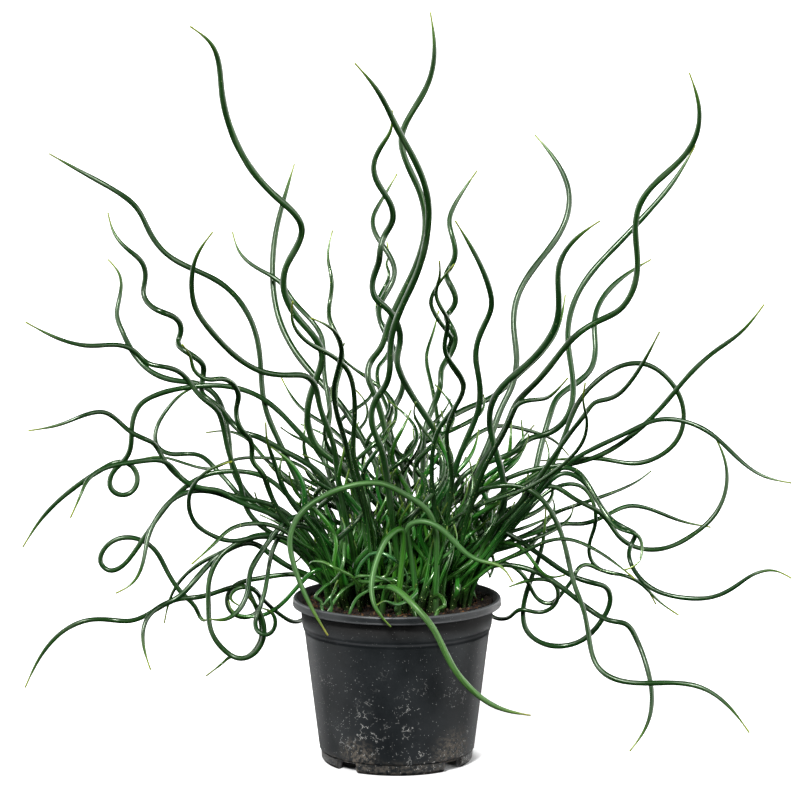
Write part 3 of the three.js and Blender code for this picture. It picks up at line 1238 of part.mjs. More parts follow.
// A tapered stem: a thin thread of as many sides is drawn along the ring centres, then each of its
// corners is pushed out from its ring centre to the stem's radius there, and those of the tip
// drawn in to a point.
function stemSolid({ places, radii }) {
  const last = places.length - 1;
  const tip = places[last].clone().sub(places[last - 1]).setLength(radii[last]).add(places[last]);
  const centres = [...places, tip];
  const widths = [...radii, 0];
  const outline = [];
  for (let i = 0; i < STEM_SIDES; i++) {
    const angle = (2 * Math.PI * i) / STEM_SIDES;
    outline.push(new THREE.Vector2(THREAD * Math.cos(angle), THREAD * Math.sin(angle)));
  }
  const section = new THREE.Shape(outline);
  const extrudePath = new StemCurve(centres);
  const thread = new THREE.ExtrudeGeometry(section, { steps: last + 1, extrudePath });
  const position = thread.attributes.position;
  const corner = new THREE.Vector3();
  for (let k = 0; k < position.count; k++) {
    corner.fromBufferAttribute(position, k);
    let i = 0;
    for (let j = 1; j < centres.length; j++) {
      if (corner.distanceToSquared(centres[j]) < corner.distanceToSquared(centres[i])) {
        i = j;
      }
    }
    corner.sub(centres[i]).multiplyScalar(widths[i] / THREAD).add(centres[i]);
    position.setXYZ(k, corner.x, corner.y, corner.z);
  }
  return solid(thread);
}

function makeMesh(name, body, color, roughness) {
  const material = new THREE.MeshStandardMaterial({ color, roughness, metalness: 0 });
  const mesh = new THREE.Mesh(geometryOf(body), material);
  mesh.name = name;
  return mesh;
}

// ---- The whole plant --------------------------------------------------------------------------

// Gives each long stem and each crown its place on the soil, and lists the holes they stand in.
function plantRoots() {
  const spots = [];
  for (const stem of LONG_STEMS) {
    const [x, y] = stem.root;
    spots.push({ x, y, radius: stem.diameter / 2 + FIT_GAP, stem });
  }
  for (const crown of CROWNS) {
    const [x, y] = crown.place;
    spots.push({ x, y, radius: CROWN_RADIUS + FIT_GAP, crown });
  }
  spreadRoots(spots);
  return spots.map(({ x, y, radius: clear, stem, crown }) => {
    if (stem) {
      stem.root = [x, y];
      const radius = clear / Math.cos(Math.PI / HOLE_SIDES);
      return { x, y, radius, sides: HOLE_SIDES, depth: ROOT_DEPTH + FIT_GAP };
    }
    crown.place = [x, y];
    const radius = CROWN_RADIUS + FIT_GAP / Math.cos(Math.PI / CROWN_SIDES);
    return { x, y, radius, sides: CROWN_SIDES, depth: CROWN_DEPTH + FIT_GAP };
  });
}

// All stems, bent clear of each other: the long ones first, then those of each crown.
function growStems() {
  const random = randomNumbers(SHOOT_SEED);
  const stems = [...LONG_STEMS];
  CROWNS.forEach((crown, index) => {
    const [x, y] = crown.place;
    crown.stems.forEach((stem, i) => {
      const angle = (i + 0.25) * Math.PI + index;
      const root = [x + CROWN_ROOT * Math.cos(angle), y + CROWN_ROOT * Math.sin(angle)];
      stems.push({ ...stem, root, crown: index });
    });
    for (let i = 0; i < crown.shoots; i++) {
      stems.push({ ...shoot(crown, random), crown: index });
    }
  });
  const growing = stems.map(prepare);
  for (const stem of growing) {
    stem.places = stem.rings.map((ring) => placed(ring.x, ring.z, ring.y));
  }
  bendClear(growing);
  return growing;
}

// A root crown sunk in the soil, low and domed, with its stems grown into it.
function makeTuft(crown, stems) {
  const [x, y] = crown.place;
  const top = soilHeight(x, y);
  const dome = new THREE.CylinderGeometry(CROWN_RADIUS * 0.75, CROWN_RADIUS, CROWN_DOME, CROWN_SIDES);
  dome.rotateX(Math.PI / 2);
  dome.translate(x, y, top + CROWN_DOME / 4);
  const block = prism(CROWN_RADIUS, CROWN_SIDES, x, y, top - CROWN_DEPTH, top - CROWN_DOME / 5);
  return stems.reduce((body, stem) => body.add(stemSolid(stem)), solid(dome).add(solid(block)));
}

function numbered(kind, index) {
  return kind + "_" + String(index + 1).padStart(2, "0");
}

const holes = plantRoots();
const growing = growStems();
const plant = new THREE.Group();
plant.add(makeMesh("pot", makePot(), new THREE.Color(0x2b2d2e), 0.45));
plant.add(makeMesh("soil", makeSoil(holes), new THREE.Color(0x2a1d14), 0.95));
growing
  .filter((stem) => stem.crown === undefined)
  .forEach((stem, i) => plant.add(makeMesh(numbered("stem", i), stemSolid(stem), stem.color, 0.35)));
CROWNS.forEach((crown, index) => {
  const stems = growing.filter((stem) => stem.crown === index);
  plant.add(makeMesh(numbered("tuft", index), makeTuft(crown, stems), MIDDLE, 0.4));
});

export default plant;
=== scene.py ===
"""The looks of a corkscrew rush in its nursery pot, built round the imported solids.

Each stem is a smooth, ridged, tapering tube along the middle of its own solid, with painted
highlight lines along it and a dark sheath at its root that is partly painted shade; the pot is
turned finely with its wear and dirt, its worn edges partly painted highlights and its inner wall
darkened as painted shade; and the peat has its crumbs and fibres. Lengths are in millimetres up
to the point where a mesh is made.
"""
import math

import bpy
import numpy as np
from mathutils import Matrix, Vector, noise


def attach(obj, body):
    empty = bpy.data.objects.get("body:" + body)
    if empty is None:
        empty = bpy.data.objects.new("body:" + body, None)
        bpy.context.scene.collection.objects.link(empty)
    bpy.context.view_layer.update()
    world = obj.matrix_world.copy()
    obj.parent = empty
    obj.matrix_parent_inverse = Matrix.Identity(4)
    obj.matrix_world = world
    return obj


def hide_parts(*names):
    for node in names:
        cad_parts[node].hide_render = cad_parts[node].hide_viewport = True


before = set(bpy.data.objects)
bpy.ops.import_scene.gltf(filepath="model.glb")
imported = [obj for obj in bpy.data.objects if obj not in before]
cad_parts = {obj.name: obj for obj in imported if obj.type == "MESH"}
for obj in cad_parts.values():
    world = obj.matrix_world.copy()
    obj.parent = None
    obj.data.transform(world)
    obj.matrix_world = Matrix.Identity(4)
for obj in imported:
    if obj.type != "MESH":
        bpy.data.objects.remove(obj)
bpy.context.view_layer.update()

MM = 0.001
TAU = 2 * math.pi

# ---- Camera, lights and floor -----------------------------------------------------------------
EYE = (1.9, -2200.0, 552.7)
PITCH_DOWN = 8.388  # degrees
SENSOR_WIDTH = 36.0
LENS = 160.92
CLIP_END = 100.0  # metres
FLOOR_RADIUS = 30.0  # metres
FLOOR_SIDES = 64
FLOOR_GLOW = 0.75
# Nearer the pot than this the floor's glow is left out, so the contact shadow round its foot is
# partly painted shade.
PAINTED_SHADOW_RADII = (0.0455, 0.057)  # metres from the pot's axis between which the floor's glow comes in
# Each light: its strength, its width in degrees, where it comes from and whether it is reflected.
LIGHTS = {
    "key": (4.6, 11, (-0.3, -0.8, 0.75), True),
    "fill": (1.1, 25, (0.7, -0.75, 0.35), True),
    "left": (1.75, 60, (-1.0, -0.1, 0.15), True),
    "right": (1.8, 60, (1.0, -0.1, 0.15), True),
    "back_left": (1.7, 45, (-0.7, 0.75, 0.1), True),
    "back_right": (1.7, 45, (0.7, 0.75, 0.1), True),
    "dome": (0.1, 180, (0.0, 0.0, 1.0), False),
}

# ---- Pot --------------------------------------------------------------------------------------
POT_SIDES = 160
# The pot's outside from the floor up and its inside from the rim down, [radius, height].
POT_OUTSIDE = [
    [43.7, 0.0], [46.1, 0.0], [47.5, 2.0], [47.85, 6.85], [48.7, 7.8], [58.0, 82.4], [58.8, 84.5],
    [59.5, 87.0], [60.45, 98.9], [65.2, 99.0], [65.45, 99.5], [65.2, 100.2], [65.2, 103.0],
    [64.7, 103.9],
]
POT_INSIDE = [[62.8, 103.9], [59.15, 98.6], [58.2, 85.4], [56.5, 83.2], [47.3, 9.3]]
BASE_TOP = 9.2
BASE_RADIUS = 46.6
BASE_UNDER = 7.6
FOOT_INSIDE = 42.9  # inner radius of the foot ring
CORNER_ROUNDING = 0.4
SHARP_FROM = 32.0  # degrees; the pot's edges sharper than this aren't shaded smooth
NOTCHES = 4  # gaps in the foot ring, each with a drainage hole further in
NOTCH_REACH = (36.0, 56.0)  # radii between which a notch is cut
NOTCH_WIDTH = 16.0
NOTCH_HEIGHT = 6.3
NOTCH_CHAMFER = 0.8
NOTCH_TURN = math.radians(3.2)  # past an even setting to left and right
CUT_BELOW = 2.0  # a notch's cutter starts this far under the floor
DRAIN_RING = 34.0
DRAIN_RADIUS = 4.5
DRAIN_TOP = 20.0
DRAIN_SIDES = 40

# Marks on the pot, in metres: where scratches crowd and where soil has dried, (centre, radius).
SCRATCHED = ((-0.022, -0.044, 0.026), 0.024)
DRIED_SOIL = (
    ((0.034, -0.034, 0.012), 0.021),
    ((-0.024, -0.041, 0.010), 0.017),
    ((-0.030, 0.036, 0.014), 0.022),
)
# Pale specks, large and small: cells in a metre, a speck's size in its cell, and how rare it is.
SPECKS = ((400.0, 0.07, 0.97), (820.0, 0.13, 1.0))
# Heights between which each kind of mark grows common, from the upper one down.
SPECK_WALL = (0.098, 0.05)
SCRATCH_WALL = (0.08, 0.03)
FOOT_DIRT = (0.012, 0.004)

# ---- Peat -------------------------------------------------------------------------------------
PEAT_SEED = 11
PEAT_RADIUS = 58.6
PEAT_RINGS = 46
PEAT_SPOKES = 150
PEAT_TOP = 99.2  # of the solid plug
PEAT_LEVEL = 99.0  # of the visible surface in the middle, before its waves
PEAT_BANK = (40.0, 60.0)  # radii between which the peat rises to the pot's wall
BANK_RISE = 3.2
# Waves of the surface: how many to the millimetre, how high, and the layer of noise they read.
PEAT_WAVES = ((0.035, 1.6, 3.1), (0.19, 1.1, 7.7), (0.7, 0.55, 1.9))
# The plug under its surface, [radius, height], and its flat underside.
PEAT_SIDE = [(PEAT_RADIUS, 98.2), (57.6, 86.8), (55.6, 83.0), (46.5, 9.6)]
PEAT_UNDER = 9.6
WALL_OPENS_AT = 98.6  # above this the pot's inner wall slopes outwards
WALL_SLOPE = 0.69
CRUMBS = 2500
CRUMBS_WITHIN = PEAT_RADIUS - 0.6
RUSTY_SHARE = 0.1  # of the crumbs
STRAW_SHARE = 0.16
FIBRES = 420
FIBRES_WITHIN = PEAT_RADIUS - 5
FIBRE_KNOTS = 5

# ---- Stems ------------------------------------------------------------------------------------
SOLID_SIDES = 4  # corners of a ring of a solid stem
SOLID_TIP = 0.8  # a solid stem's apex is this near the corners round it
ROUNDNESS = 0.05  # share by which the corners of a stem's ring may differ in reach
CROWN_WITHIN = 56.0  # a crown lies inside this circle,
CROWN_BELOW = 93.0  # and its underside is lower than this
CROWN_ROOT = 2.3  # distance of a stem's root from the middle of its crown
ROOT_DEPTH = 5.0
NECK_RISE = 3.0  # height of a neck, where such a stem leaves the peat
SHORT_DROP = 6.0  # a stem whose first clear ring is no further above its neck needs none
LONG_DROP = 16.0  # and one whose ring is further above it needs a knot more between them
BEND_REACH = 12.0
SIDES = 12
SHOOT_SIDES = 8
RIDGE = 0.035
RIDGE_TURN = 150.0  # length in which the ridges go once round the stem
START_SIDE = (0.31, 0.95, 0.05)  # no stem starts along this
STEP = 2.0
TIP_RADIUS = 0.55
LONG_TAPER = 18.0  # length over which a long stem swells from its tip
SHORT_TAPER = 13.0
BLUNT_TAPER = 7.0
LONG_FROM = 150.0  # a stem longer than this is a long one
TUSSOCK_RADIUS = 95.0  # a tip inside this circle and below this height stays green
TUSSOCK_HEIGHT = 230.0
# The tips of these are lost among other stems, so they stay thick and green to the end.
BLUNT_STEMS = ("stem_28", "stem_31", "stem_32", "stem_34", "stem_35", "stem_42", "tuft_03")
BLUNT_UNDER = 130.0  # where the tip is lower than this
LIGHT_STEMS = ("stem_43", "stem_44", "stem_45", "stem_46")

# ---- Shoots besides those of the solids -------------------------------------------------------
STEM_SEED = 5
YOUNG_SHOOTS = 120
TALL_SHOOTS = 46
FRONT_SHOOTS = 9
SMALL_CURLS = 30
# Each kind of shoot: its length, its radius, how far it fans out and how widely it coils.
YOUNG = {"lengths": (40, 115), "radii": (1.2, 2.0), "spread": 0.7, "coil": 7.0}
TALL = {"lengths": (105, 195), "radii": (1.5, 1.95), "spread": 1.0, "coil": 17.0}
FRONT = {"lengths": (50, 100), "radii": (1.3, 2.0), "spread": 0.3, "coil": 7.0}
SHOOT_ROOT = 3.0  # depth of a shoot's root in the peat
SHOOTS_WITHIN = 35.0
SHOOTS_MIDDLE = (3.0, 9.0)
SHOOTS_DEPTH = 0.85  # of their circle, as a share of its width
BARE_FRONT = -10.0  # in front of this the peat is bare on the left
LEAN_TO_FRONT = -0.22  # the most that a shoot leans towards the front, as a slope
COIL_LENGTHS = (50, 90)  # of a shoot's path, for one coil
COIL_FROM = 45.0  # distance from its root at which a shoot coils at its full width
KNOT_GAP = 8.0
FRONT_ROOTS = ((8, 29), (-31, -26))  # in x and in y
FRONT_LEAN = 0.15  # more to the right, as a slope
CURL_LENGTHS = (50, 105)
CURL_RADII = (1.15, 1.55)
CURL_STEP = 4.0
CURLY_SIDE = (math.pi, 1.6 * math.pi)  # directions from the axis where most of them are
CURLY_SHARE = 0.6
CURL_ROOTS = (14, 38)  # distances from the axis
CURL_TURN = (0.12, 0.5)  # how sharply a curl turns at each step
CURLS_WITHIN = 54.0  # a curl stays inside this circle below the rim
CURLS_OVER = 108.0  # and may leave it above this height
CURL_LIFT = 5.0  # height above the peat up to which a curl is steered upwards


def srgb(code):
    """A colour written as in a paint program, as linear light."""
    parts = np.array([int(code[i:i + 2], 16) for i in (1, 3, 5)]) / 255
    return np.where(parts <= 0.04045, parts / 12.92, ((parts + 0.055) / 1.055) ** 2.4)


# Each kind of stem: its slot in the record, its colours from the root to the end of the tip, how far
# up the colour of the root reaches, and how much its stems differ in warmth.
KINDS = {
    "dark": {
        "slot": "stem", "root": srgb("#2a691a"), "body": srgb("#173b15"),
        "tip": srgb("#48701a"), "end": srgb("#98a412"), "root_reach": 85.0, "warmth": 0.5,
    },
    "light": {
        "slot": "light_stem", "root": srgb("#2b6c1c"), "body": srgb("#437032"),
        "tip": srgb("#6f9436"), "end": srgb("#a6a23e"), "root_reach": 78.0, "warmth": 0.3,
    },
    "young": {
        "slot": "young_stem", "root": srgb("#35811b"), "body": srgb("#25671a"),
        "tip": srgb("#37691c"), "end": srgb("#5f7a20"), "root_reach": 70.0, "warmth": 1.2,
    },
}
KINDS["tall"] = {**KINDS["dark"], "tip": srgb("#2c5c1c"), "end": srgb("#5f7a20")}
KINDS["curl"] = {
    **KINDS["young"], "root": srgb("#2f6826"), "body": srgb("#40723a"), "tip": srgb("#578a50"),
}
# A sheath's dark brownish green near the root, deepened as painted shade where the stems leave the
# peat.
SHEATH_AND_SHADE = srgb("#232c14")
WARMTH_SPREAD = 9.7  # makes a stem's warmth from its tone without their going together
WARMER = np.array([1.0, 0.1, -0.3])  # change of red, green and blue in a warmer stem
PEAT_BROWN, PEAT_BLACK = srgb("#2e1f15"), srgb("#100b08")
RUST, STRAW = srgb("#84552b"), srgb("#7a6246")


# ---- Meshes -----------------------------------------------------------------------------------

class Body:
    """Corners, faces and colours gathered for one piece."""

    def __init__(self):
        self.corners, self.faces, self.tints, self.grains, self.count = [], [], [], [], 0

    def add(self, corners, faces, tints=(0, 0, 0), grains=None):
        """Adds corners in millimetres, faces by their own numbering and the corners' colours."""
        corners = np.asarray(corners, float)
        self.faces += [tuple(i + self.count for i in face) for face in faces]
        self.corners.append(corners)
        self.tints.append(np.broadcast_to(tints, (len(corners), 3)))
        self.grains.append(corners if grains is None else grains)
        self.count += len(corners)

    def build(self, name, material):
        """The piece as an object that is shaded smooth."""
        mesh = bpy.data.meshes.new(name)
        corners = np.concatenate(self.corners)
        mesh.from_pydata((corners * MM).tolist(), [], self.faces)
        tint = mesh.attributes.new("tint", "FLOAT_COLOR", "POINT")
        colours = np.concatenate([np.concatenate(self.tints), np.ones((len(corners), 1))], axis=1)
        tint.data.foreach_set("color", colours.astype(np.float32).ravel())
        grain = mesh.attributes.new("grain", "FLOAT_VECTOR", "POINT")
        grain.data.foreach_set("vector", np.concatenate(self.grains).astype(np.float32).ravel())
        mesh.materials.append(material)
        mesh.validate()
        mesh.shade_smooth()
        piece = bpy.data.objects.new(name, mesh)
        bpy.context.scene.collection.objects.link(piece)
        return piece


def unit(v):
    return v / max(np.linalg.norm(v), 1e-12)


def between(random, low, high):
    """A random number between two."""
    return low + (high - low) * random.random()


def travelled(points):
    """Distance along a line of points from its first."""
    steps = np.linalg.norm(np.diff(points, axis=0), axis=1)
    return np.concatenate([[0.0], np.cumsum(steps)])


def smooth_path(knots, spacing):
    """The natural cubic spline through knots, cut at an even spacing."""
    at = travelled(knots)
    gap = np.diff(at)
    count = len(at)
    system, right = np.eye(count), np.zeros((count, 3))
    for i in range(1, count - 1):
        system[i, i - 1:i + 2] = gap[i - 1], 2 * (gap[i - 1] + gap[i]), gap[i]
        slopes = (knots[i + 1] - knots[i]) / gap[i], (knots[i] - knots[i - 1]) / gap[i - 1]
        right[i] = 6 * (slopes[0] - slopes[1])
    bend = np.linalg.solve(system, right)
    pieces = max(4, round(at[-1] / spacing))
    s = np.linspace(0, at[-1], pieces * 4 + 1)
    i = np.clip(np.searchsorted(at, s, side="right") - 1, 0, count - 2)
    a = ((at[i + 1] - s) / gap[i])[:, None]
    b = 1 - a
    arc = ((a ** 3 - a) * bend[i] + (b ** 3 - b) * bend[i + 1]) * (gap[i] ** 2 / 6)[:, None]
    dense = a * knots[i] + b * knots[i + 1] + arc
    far = travelled(dense)
    wanted = np.linspace(0, far[-1], pieces + 1)
    return np.stack([np.interp(wanted, far, dense[:, k]) for k in range(3)], axis=1)


def frames(path):
    """Directions across a path, turned as little as possible from each point to the next."""
    tangents = np.gradient(path, axis=0)
    side = np.cross(tangents[0], START_SIDE)
    sides, others = [], []
    for tangent in tangents:
        tangent = unit(tangent)
        side = unit(side - tangent * (side @ tangent))
        sides.append(side)
        others.append(np.cross(tangent, side))
    return np.array(sides), np.array(others)


def sweep(body, path, radii, tints, sides=SIDES, ridge=RIDGE):
    """Adds a closed tube along path, with fine ridges that wind round it."""
    across, other = frames(path)
    far = travelled(path)
    turn = TAU * np.arange(sides) / sides
    angle = turn[None, :] + (TAU * far / RIDGE_TURN)[:, None]
    reach = radii[:, None] * (1 + ridge * np.where(np.arange(sides) % 2, -1, 1))
    rings = (
        path[:, None, :]
        + across[:, None, :] * (reach * np.cos(angle))[..., None]
        + other[:, None, :] * (reach * np.sin(angle))[..., None]
    )
    rows = len(path)
    faces = []
    for i in range(rows - 1):
        for j in range(sides):
            k = (j + 1) % sides
            faces.append((i * sides + j, i * sides + k, (i + 1) * sides + k, (i + 1) * sides + j))
    end = unit(path[-1] - path[-2]) * radii[-1]
    corners = np.concatenate([rings.reshape(-1, 3), [path[-1] + end]])
    apex = rows * sides
    faces += [(apex - sides + j, apex - sides + (j + 1) % sides, apex) for j in range(sides)]
    faces.append(tuple(reversed(range(sides))))
    grain = np.stack(
        [np.tile(np.cos(turn), rows), np.tile(np.sin(turn), rows), np.repeat(far, sides)], axis=1
    )
    grain = np.concatenate([grain, [[0, 0, far[-1]]]])
    skin = np.concatenate([np.repeat(tints, sides, axis=0), tints[-1:]])
    body.add(corners, faces, skin, grain)


# ---- Solid stems ------------------------------------------------------------------------------

def welded(node):
    """A solid's corners with repeats merged, in millimetres, and those that each is joined to."""
    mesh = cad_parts[node].data
    places = np.empty(len(mesh.vertices) * 3, np.float32)
    mesh.vertices.foreach_get("co", places)
    rounded = np.round(places.reshape(-1, 3).astype(float) / MM, 4)
    corners, index = np.unique(rounded, axis=0, return_inverse=True)
    index = index.reshape(-1)
    joined = [set() for _ in corners]
    for edge in mesh.edges:
        a, b = (int(index[i]) for i in edge.vertices)
        if a != b:
            joined[a].add(b)
            joined[b].add(a)
    return corners, joined


def solid_stems(node):
    """A node's corners, and each of its stems' ring centres from the root up and radius.

    A stem is followed from the apex of its tip down, ring by ring, as far as its rings are round.
    """
    corners, joined = welded(node)
    stems = []
    for tip, near in enumerate(joined):
        gaps = [np.linalg.norm(corners[i] - corners[tip]) for i in near]
        if len(near) != SOLID_SIDES or max(gaps) > SOLID_TIP:
            continue
        seen, layer, centres, radii = {tip}, set(near), [], []
        while len(layer) == SOLID_SIDES:
            ring = corners[sorted(layer)]
            centre = ring.mean(axis=0)
            reach = np.linalg.norm(ring - centre, axis=1)
            if np.ptp(reach) > ROUNDNESS * reach.mean():
                break
            centres.append(centre)
            radii.append(reach.mean())
            seen |= layer
            layer = set().union(*(joined[i] for i in layer)) - seen
        if len(centres) > 2:
            stems.append((np.array(centres[::-1]), max(radii)))
    return corners, stems


def rooted(centres, crown):
    """A crown's stem carried on from its lowest clear ring down into the crown."""
    low = centres[0]
    out = unit((low - crown) * (1, 1, 0)) * CROWN_ROOT
    root = crown + out
    root[2] = PEAT_TOP - ROOT_DEPTH
    neck = crown + out * 1.1
    neck[2] = PEAT_TOP + NECK_RISE
    drop = low[2] - neck[2]
    if drop < SHORT_DROP:
        return np.concatenate([[root], centres])
    slope = unit(centres[1] - low)
    bend = low - slope * min(BEND_REACH, 0.45 * drop)
    middle = (bend + neck) / 2 + out * 0.6
    added = [root, neck, middle, bend] if drop > LONG_DROP else [root, neck, bend]
    return np.concatenate([added, centres])


def eased(low, high, value):
    """0 under low and 1 over high, smooth between them, as a column."""
    share = np.clip((value - low) / (high - low), 0, 1)
    return (share * share * (3 - 2 * share))[:, None]


def stem_tints(far, kind, tone):
    """A stem's colours at distances from its root. tone, from 0 to 1, makes it lighter."""
    colours = KINDS[kind]
    left = far[-1] - far
    body = colours["body"] * (0.8 + 0.45 * tone)
    skin = colours["root"] * (0.75 + 0.5 * tone)
    skin = skin + (body - skin) * eased(0.25 * colours["root_reach"], colours["root_reach"], far)
    warm = colours["warmth"] * (tone * WARMTH_SPREAD % 1 - 0.45)
    skin = skin * (1 + warm * WARMER)
    # darker at the base: the sheath's colour, partly painted shade
    skin = skin + (SHEATH_AND_SHADE - skin) * (1 - eased(10, 34, far)) * 0.9
    skin = skin + (colours["tip"] - skin) * (1 - eased(8, 28, left)) * 0.9
    return skin + (colours["end"] - skin) * (1 - eased(2, 12, left)) * 0.9


def grow(body, knots, radius, kind, tone, slim=0.0, sides=SIDES, blunt=False):
    """Adds a stem to a piece. It swells from its tip, and slim narrows it evenly upwards."""
    path = smooth_path(knots, STEP)
    far = travelled(path)
    left = far[-1] - far
    taper = BLUNT_TAPER if blunt else LONG_TAPER if far[-1] > LONG_FROM else SHORT_TAPER
    widths = radius * (1 - slim * far / far[-1]) * (1 - np.exp(-left / taper))
    sweep(body, path, np.maximum(TIP_RADIUS, widths), stem_tints(far, kind, tone), sides)


# ---- Materials --------------------------------------------------------------------------------

class Shader:
    """A material's nodes, made and linked by short calls."""

    def __init__(self, name):
        self.material = bpy.data.materials.new(name)
        self.material.use_nodes = True
        self.nodes = self.material.node_tree.nodes
        self.links = self.material.node_tree.links
        self.surface = self.nodes["Principled BSDF"]

    def put(self, target, value):
        """Sets a socket to a value, or links another one to it."""
        if isinstance(value, bpy.types.NodeSocket):
            self.links.new(value, target)
        else:
            target.default_value = value

    def node(self, kind, inputs=None, **settings):
        """A new node with its inputs, by name or number, and its settings."""
        made = self.nodes.new("ShaderNode" + kind)
        for key, value in settings.items():
            setattr(made, key, value)
        for key, value in (inputs or {}).items():
            self.put(made.inputs[key], value)
        return made

    def attribute(self, name, output):
        return self.node("Attribute", attribute_name=name).outputs[output]

    def place(self):
        return self.node("TexCoord").outputs["Object"]

    def scaled(self, vector, scale):
        made = self.node("Mapping", {"Vector": vector, "Scale": scale})
        return made.outputs["Vector"]

    def noise(self, vector, scale, detail=3.0, roughness=0.55, distortion=0.0):
        inputs = {"Vector": vector, "Scale": scale, "Detail": detail,
                  "Roughness": roughness, "Distortion": distortion}
        return self.node("TexNoise", inputs).outputs["Fac"]

    def ramp(self, value, low, high, out_low=0.0, out_high=1.0):
        """value between low and high carried to out_low to out_high, smoothly, and held outside."""
        inputs = {"Value": value, "From Min": low, "From Max": high,
                  "To Min": out_low, "To Max": out_high}
        made = self.node("MapRange", inputs, interpolation_type="SMOOTHSTEP")
        return made.outputs["Result"]

    def math(self, operation, a, b):
        return self.node("Math", {0: a, 1: b}, operation=operation).outputs["Value"]

    def product(self, first, *others):
        for other in others:
            first = self.math("MULTIPLY", first, other)
        return first

    def largest(self, first, *others):
        for other in others:
            first = self.math("MAXIMUM", first, other)
        return first

    def cells(self, vector, scale):
        """Random cells: the distance from the middle of each, and a number of its own."""
        inputs = {"Vector": vector, "Scale": scale, "Randomness": 1.0}
        made = self.node("TexVoronoi", inputs)
        split = self.node("SeparateColor", {"Color": made.outputs["Color"]})
        return made.outputs["Distance"], split.outputs["Red"]

    def mix(self, share, a, b):
        """Colour a with a share of colour b in it."""
        made = self.node("Mix", data_type="RGBA")
        self.put(made.inputs[0], share)
        for target, value in ((made.inputs[6], a), (made.inputs[7], b)):
            plain = not isinstance(value, bpy.types.NodeSocket)
            self.put(target, (*value, 1.0) if plain else value)
        return made.outputs[2]

    def bump(self, height, strength, distance):
        inputs = {"Height": height, "Strength": strength, "Distance": distance}
        self.put(self.surface.inputs["Normal"], self.node("Bump", inputs).outputs["Normal"])

    def finish(self, **inputs):
        """The material, once its surface has its inputs."""
        for key, value in inputs.items():
            self.put(self.surface.inputs[key.replace("_", " ")], value)
        return self.material


def stem_material(name, roughness, flecks, gloss, sheen):
    """Waxy green skin with fine streaks along the stem, pale green painted highlight lines on their
    crests, small pale flecks and a tinted sheen.
    """
    s = Shader(name)
    grain = s.attribute("grain", "Vector")
    streaks = s.noise(s.scaled(grain, (2.2, 2.2, 0.02)), 1.0, 3.0, 0.6)
    mottle = s.noise(s.scaled(grain, (0.5, 0.5, 0.06)), 1.0, 2.0)
    skin = s.attribute("tint", "Color")
    dark = s.mix(s.ramp(streaks, 0.38, 0.62, 0.6, 0.0), skin, (0.006, 0.022, 0.005))
    pale = s.mix(s.ramp(mottle, 0.5, 0.8, 0.0, 0.22), dark, (0.11, 0.16, 0.09))
    # Painted highlights: pale green lines along the streaks' crests, more of them where there are
    # more flecks.
    pale = s.mix(s.ramp(streaks, 0.6, 0.68, 0.0, 0.5 * flecks), pale, (0.2, 0.38, 0.13))
    distance, chosen = s.cells(s.scaled(grain, (1.6, 1.6, 0.55)), 1.0)
    fleck = s.product(s.ramp(distance, 0.12, 0.26, 1.0, 0.0), s.ramp(chosen, 0.77, 0.83), flecks)
    flecked = s.mix(fleck, pale, (0.58, 0.72, 0.28))
    s.bump(streaks, 0.15, 0.0002)
    return s.finish(
        Base_Color=flecked,
        Roughness=s.ramp(mottle, 0.3, 0.7, roughness - 0.04, roughness + 0.08),
        Specular_IOR_Level=gloss,
        Specular_Tint=(*sheen, 1.0),
    )


def spot(s, place, centre, radius):
    """1 at a place on the pot and 0 at a distance from it, in metres."""
    made = s.node("VectorMath", {0: place, 1: centre}, operation="DISTANCE")
    return s.ramp(made.outputs["Value"], radius * 0.25, radius, 1.0, 0.0)


def pot_specks(s, place, height):
    """Pale specks, few on the collar and many low down."""
    crowd = s.product(s.noise(place, 40.0, 2.0), 0.45)
    layers = []
    for scale, size, rarity in SPECKS:
        distance, chosen = s.cells(place, scale)
        dot = s.ramp(distance, size, size * 1.4, 1.0, 0.0)
        layers.append(s.product(dot, s.ramp(s.math("ADD", chosen, crowd), rarity, rarity + 0.05)))
    return s.product(s.largest(*layers), s.ramp(height, *SPECK_WALL, 0.25, 1.0))


def pot_scratches(s, place, height):
    """Short bent scratches, in patches on the lower wall."""
    shake = s.node("TexNoise", {"Vector": place, "Scale": 300.0}).outputs["Color"]
    shaken = s.node("Mix", data_type="VECTOR", factor_mode="UNIFORM")
    for socket, value in ((0, 0.005), (4, place), (5, shake)):
        s.put(shaken.inputs[socket], value)
    edges = s.node("TexVoronoi", {"Vector": shaken.outputs[1], "Scale": 310.0, "Randomness": 1.0},
                   feature="DISTANCE_TO_EDGE")
    thread = s.ramp(edges.outputs["Distance"], 0.01, 0.042, 1.0, 0.0)
    broken = s.ramp(s.noise(place, 260.0, 1.0), 0.55, 0.58)
    patch = s.largest(s.ramp(s.noise(place, 60.0, 1.0), 0.52, 0.6), spot(s, place, *SCRATCHED))
    return s.product(thread, broken, patch, s.ramp(height, *SCRATCH_WALL))


def pot_dirt(s, place, height):
    """Dried soil, in a few torn smudges low down and along the foot."""
    smudges = [spot(s, place, *smudge) for smudge in DRIED_SOIL]
    smudge = s.largest(*smudges, s.ramp(height, *FOOT_DIRT, 0.0, 0.55))
    return s.product(smudge, s.ramp(s.noise(place, 420.0, 6.0, 0.75), 0.45, 0.58))


def pot_wear_and_highlights(s, out, height):
    """The rim's two edges worn pale, partly as a painted highlight, and a pale line along the
    collar's step that is a painted highlight.
    """
    rim = s.largest(s.ramp(height, 0.1031, 0.1035), s.ramp(height, 0.0998, 0.0994))
    # a painted highlight along the collar's step
    step = s.product(s.ramp(height, 0.0838, 0.0844), s.ramp(height, 0.0858, 0.0852), 0.5)
    return s.largest(s.product(rim, s.ramp(out, 0.0629, 0.0632)), step)


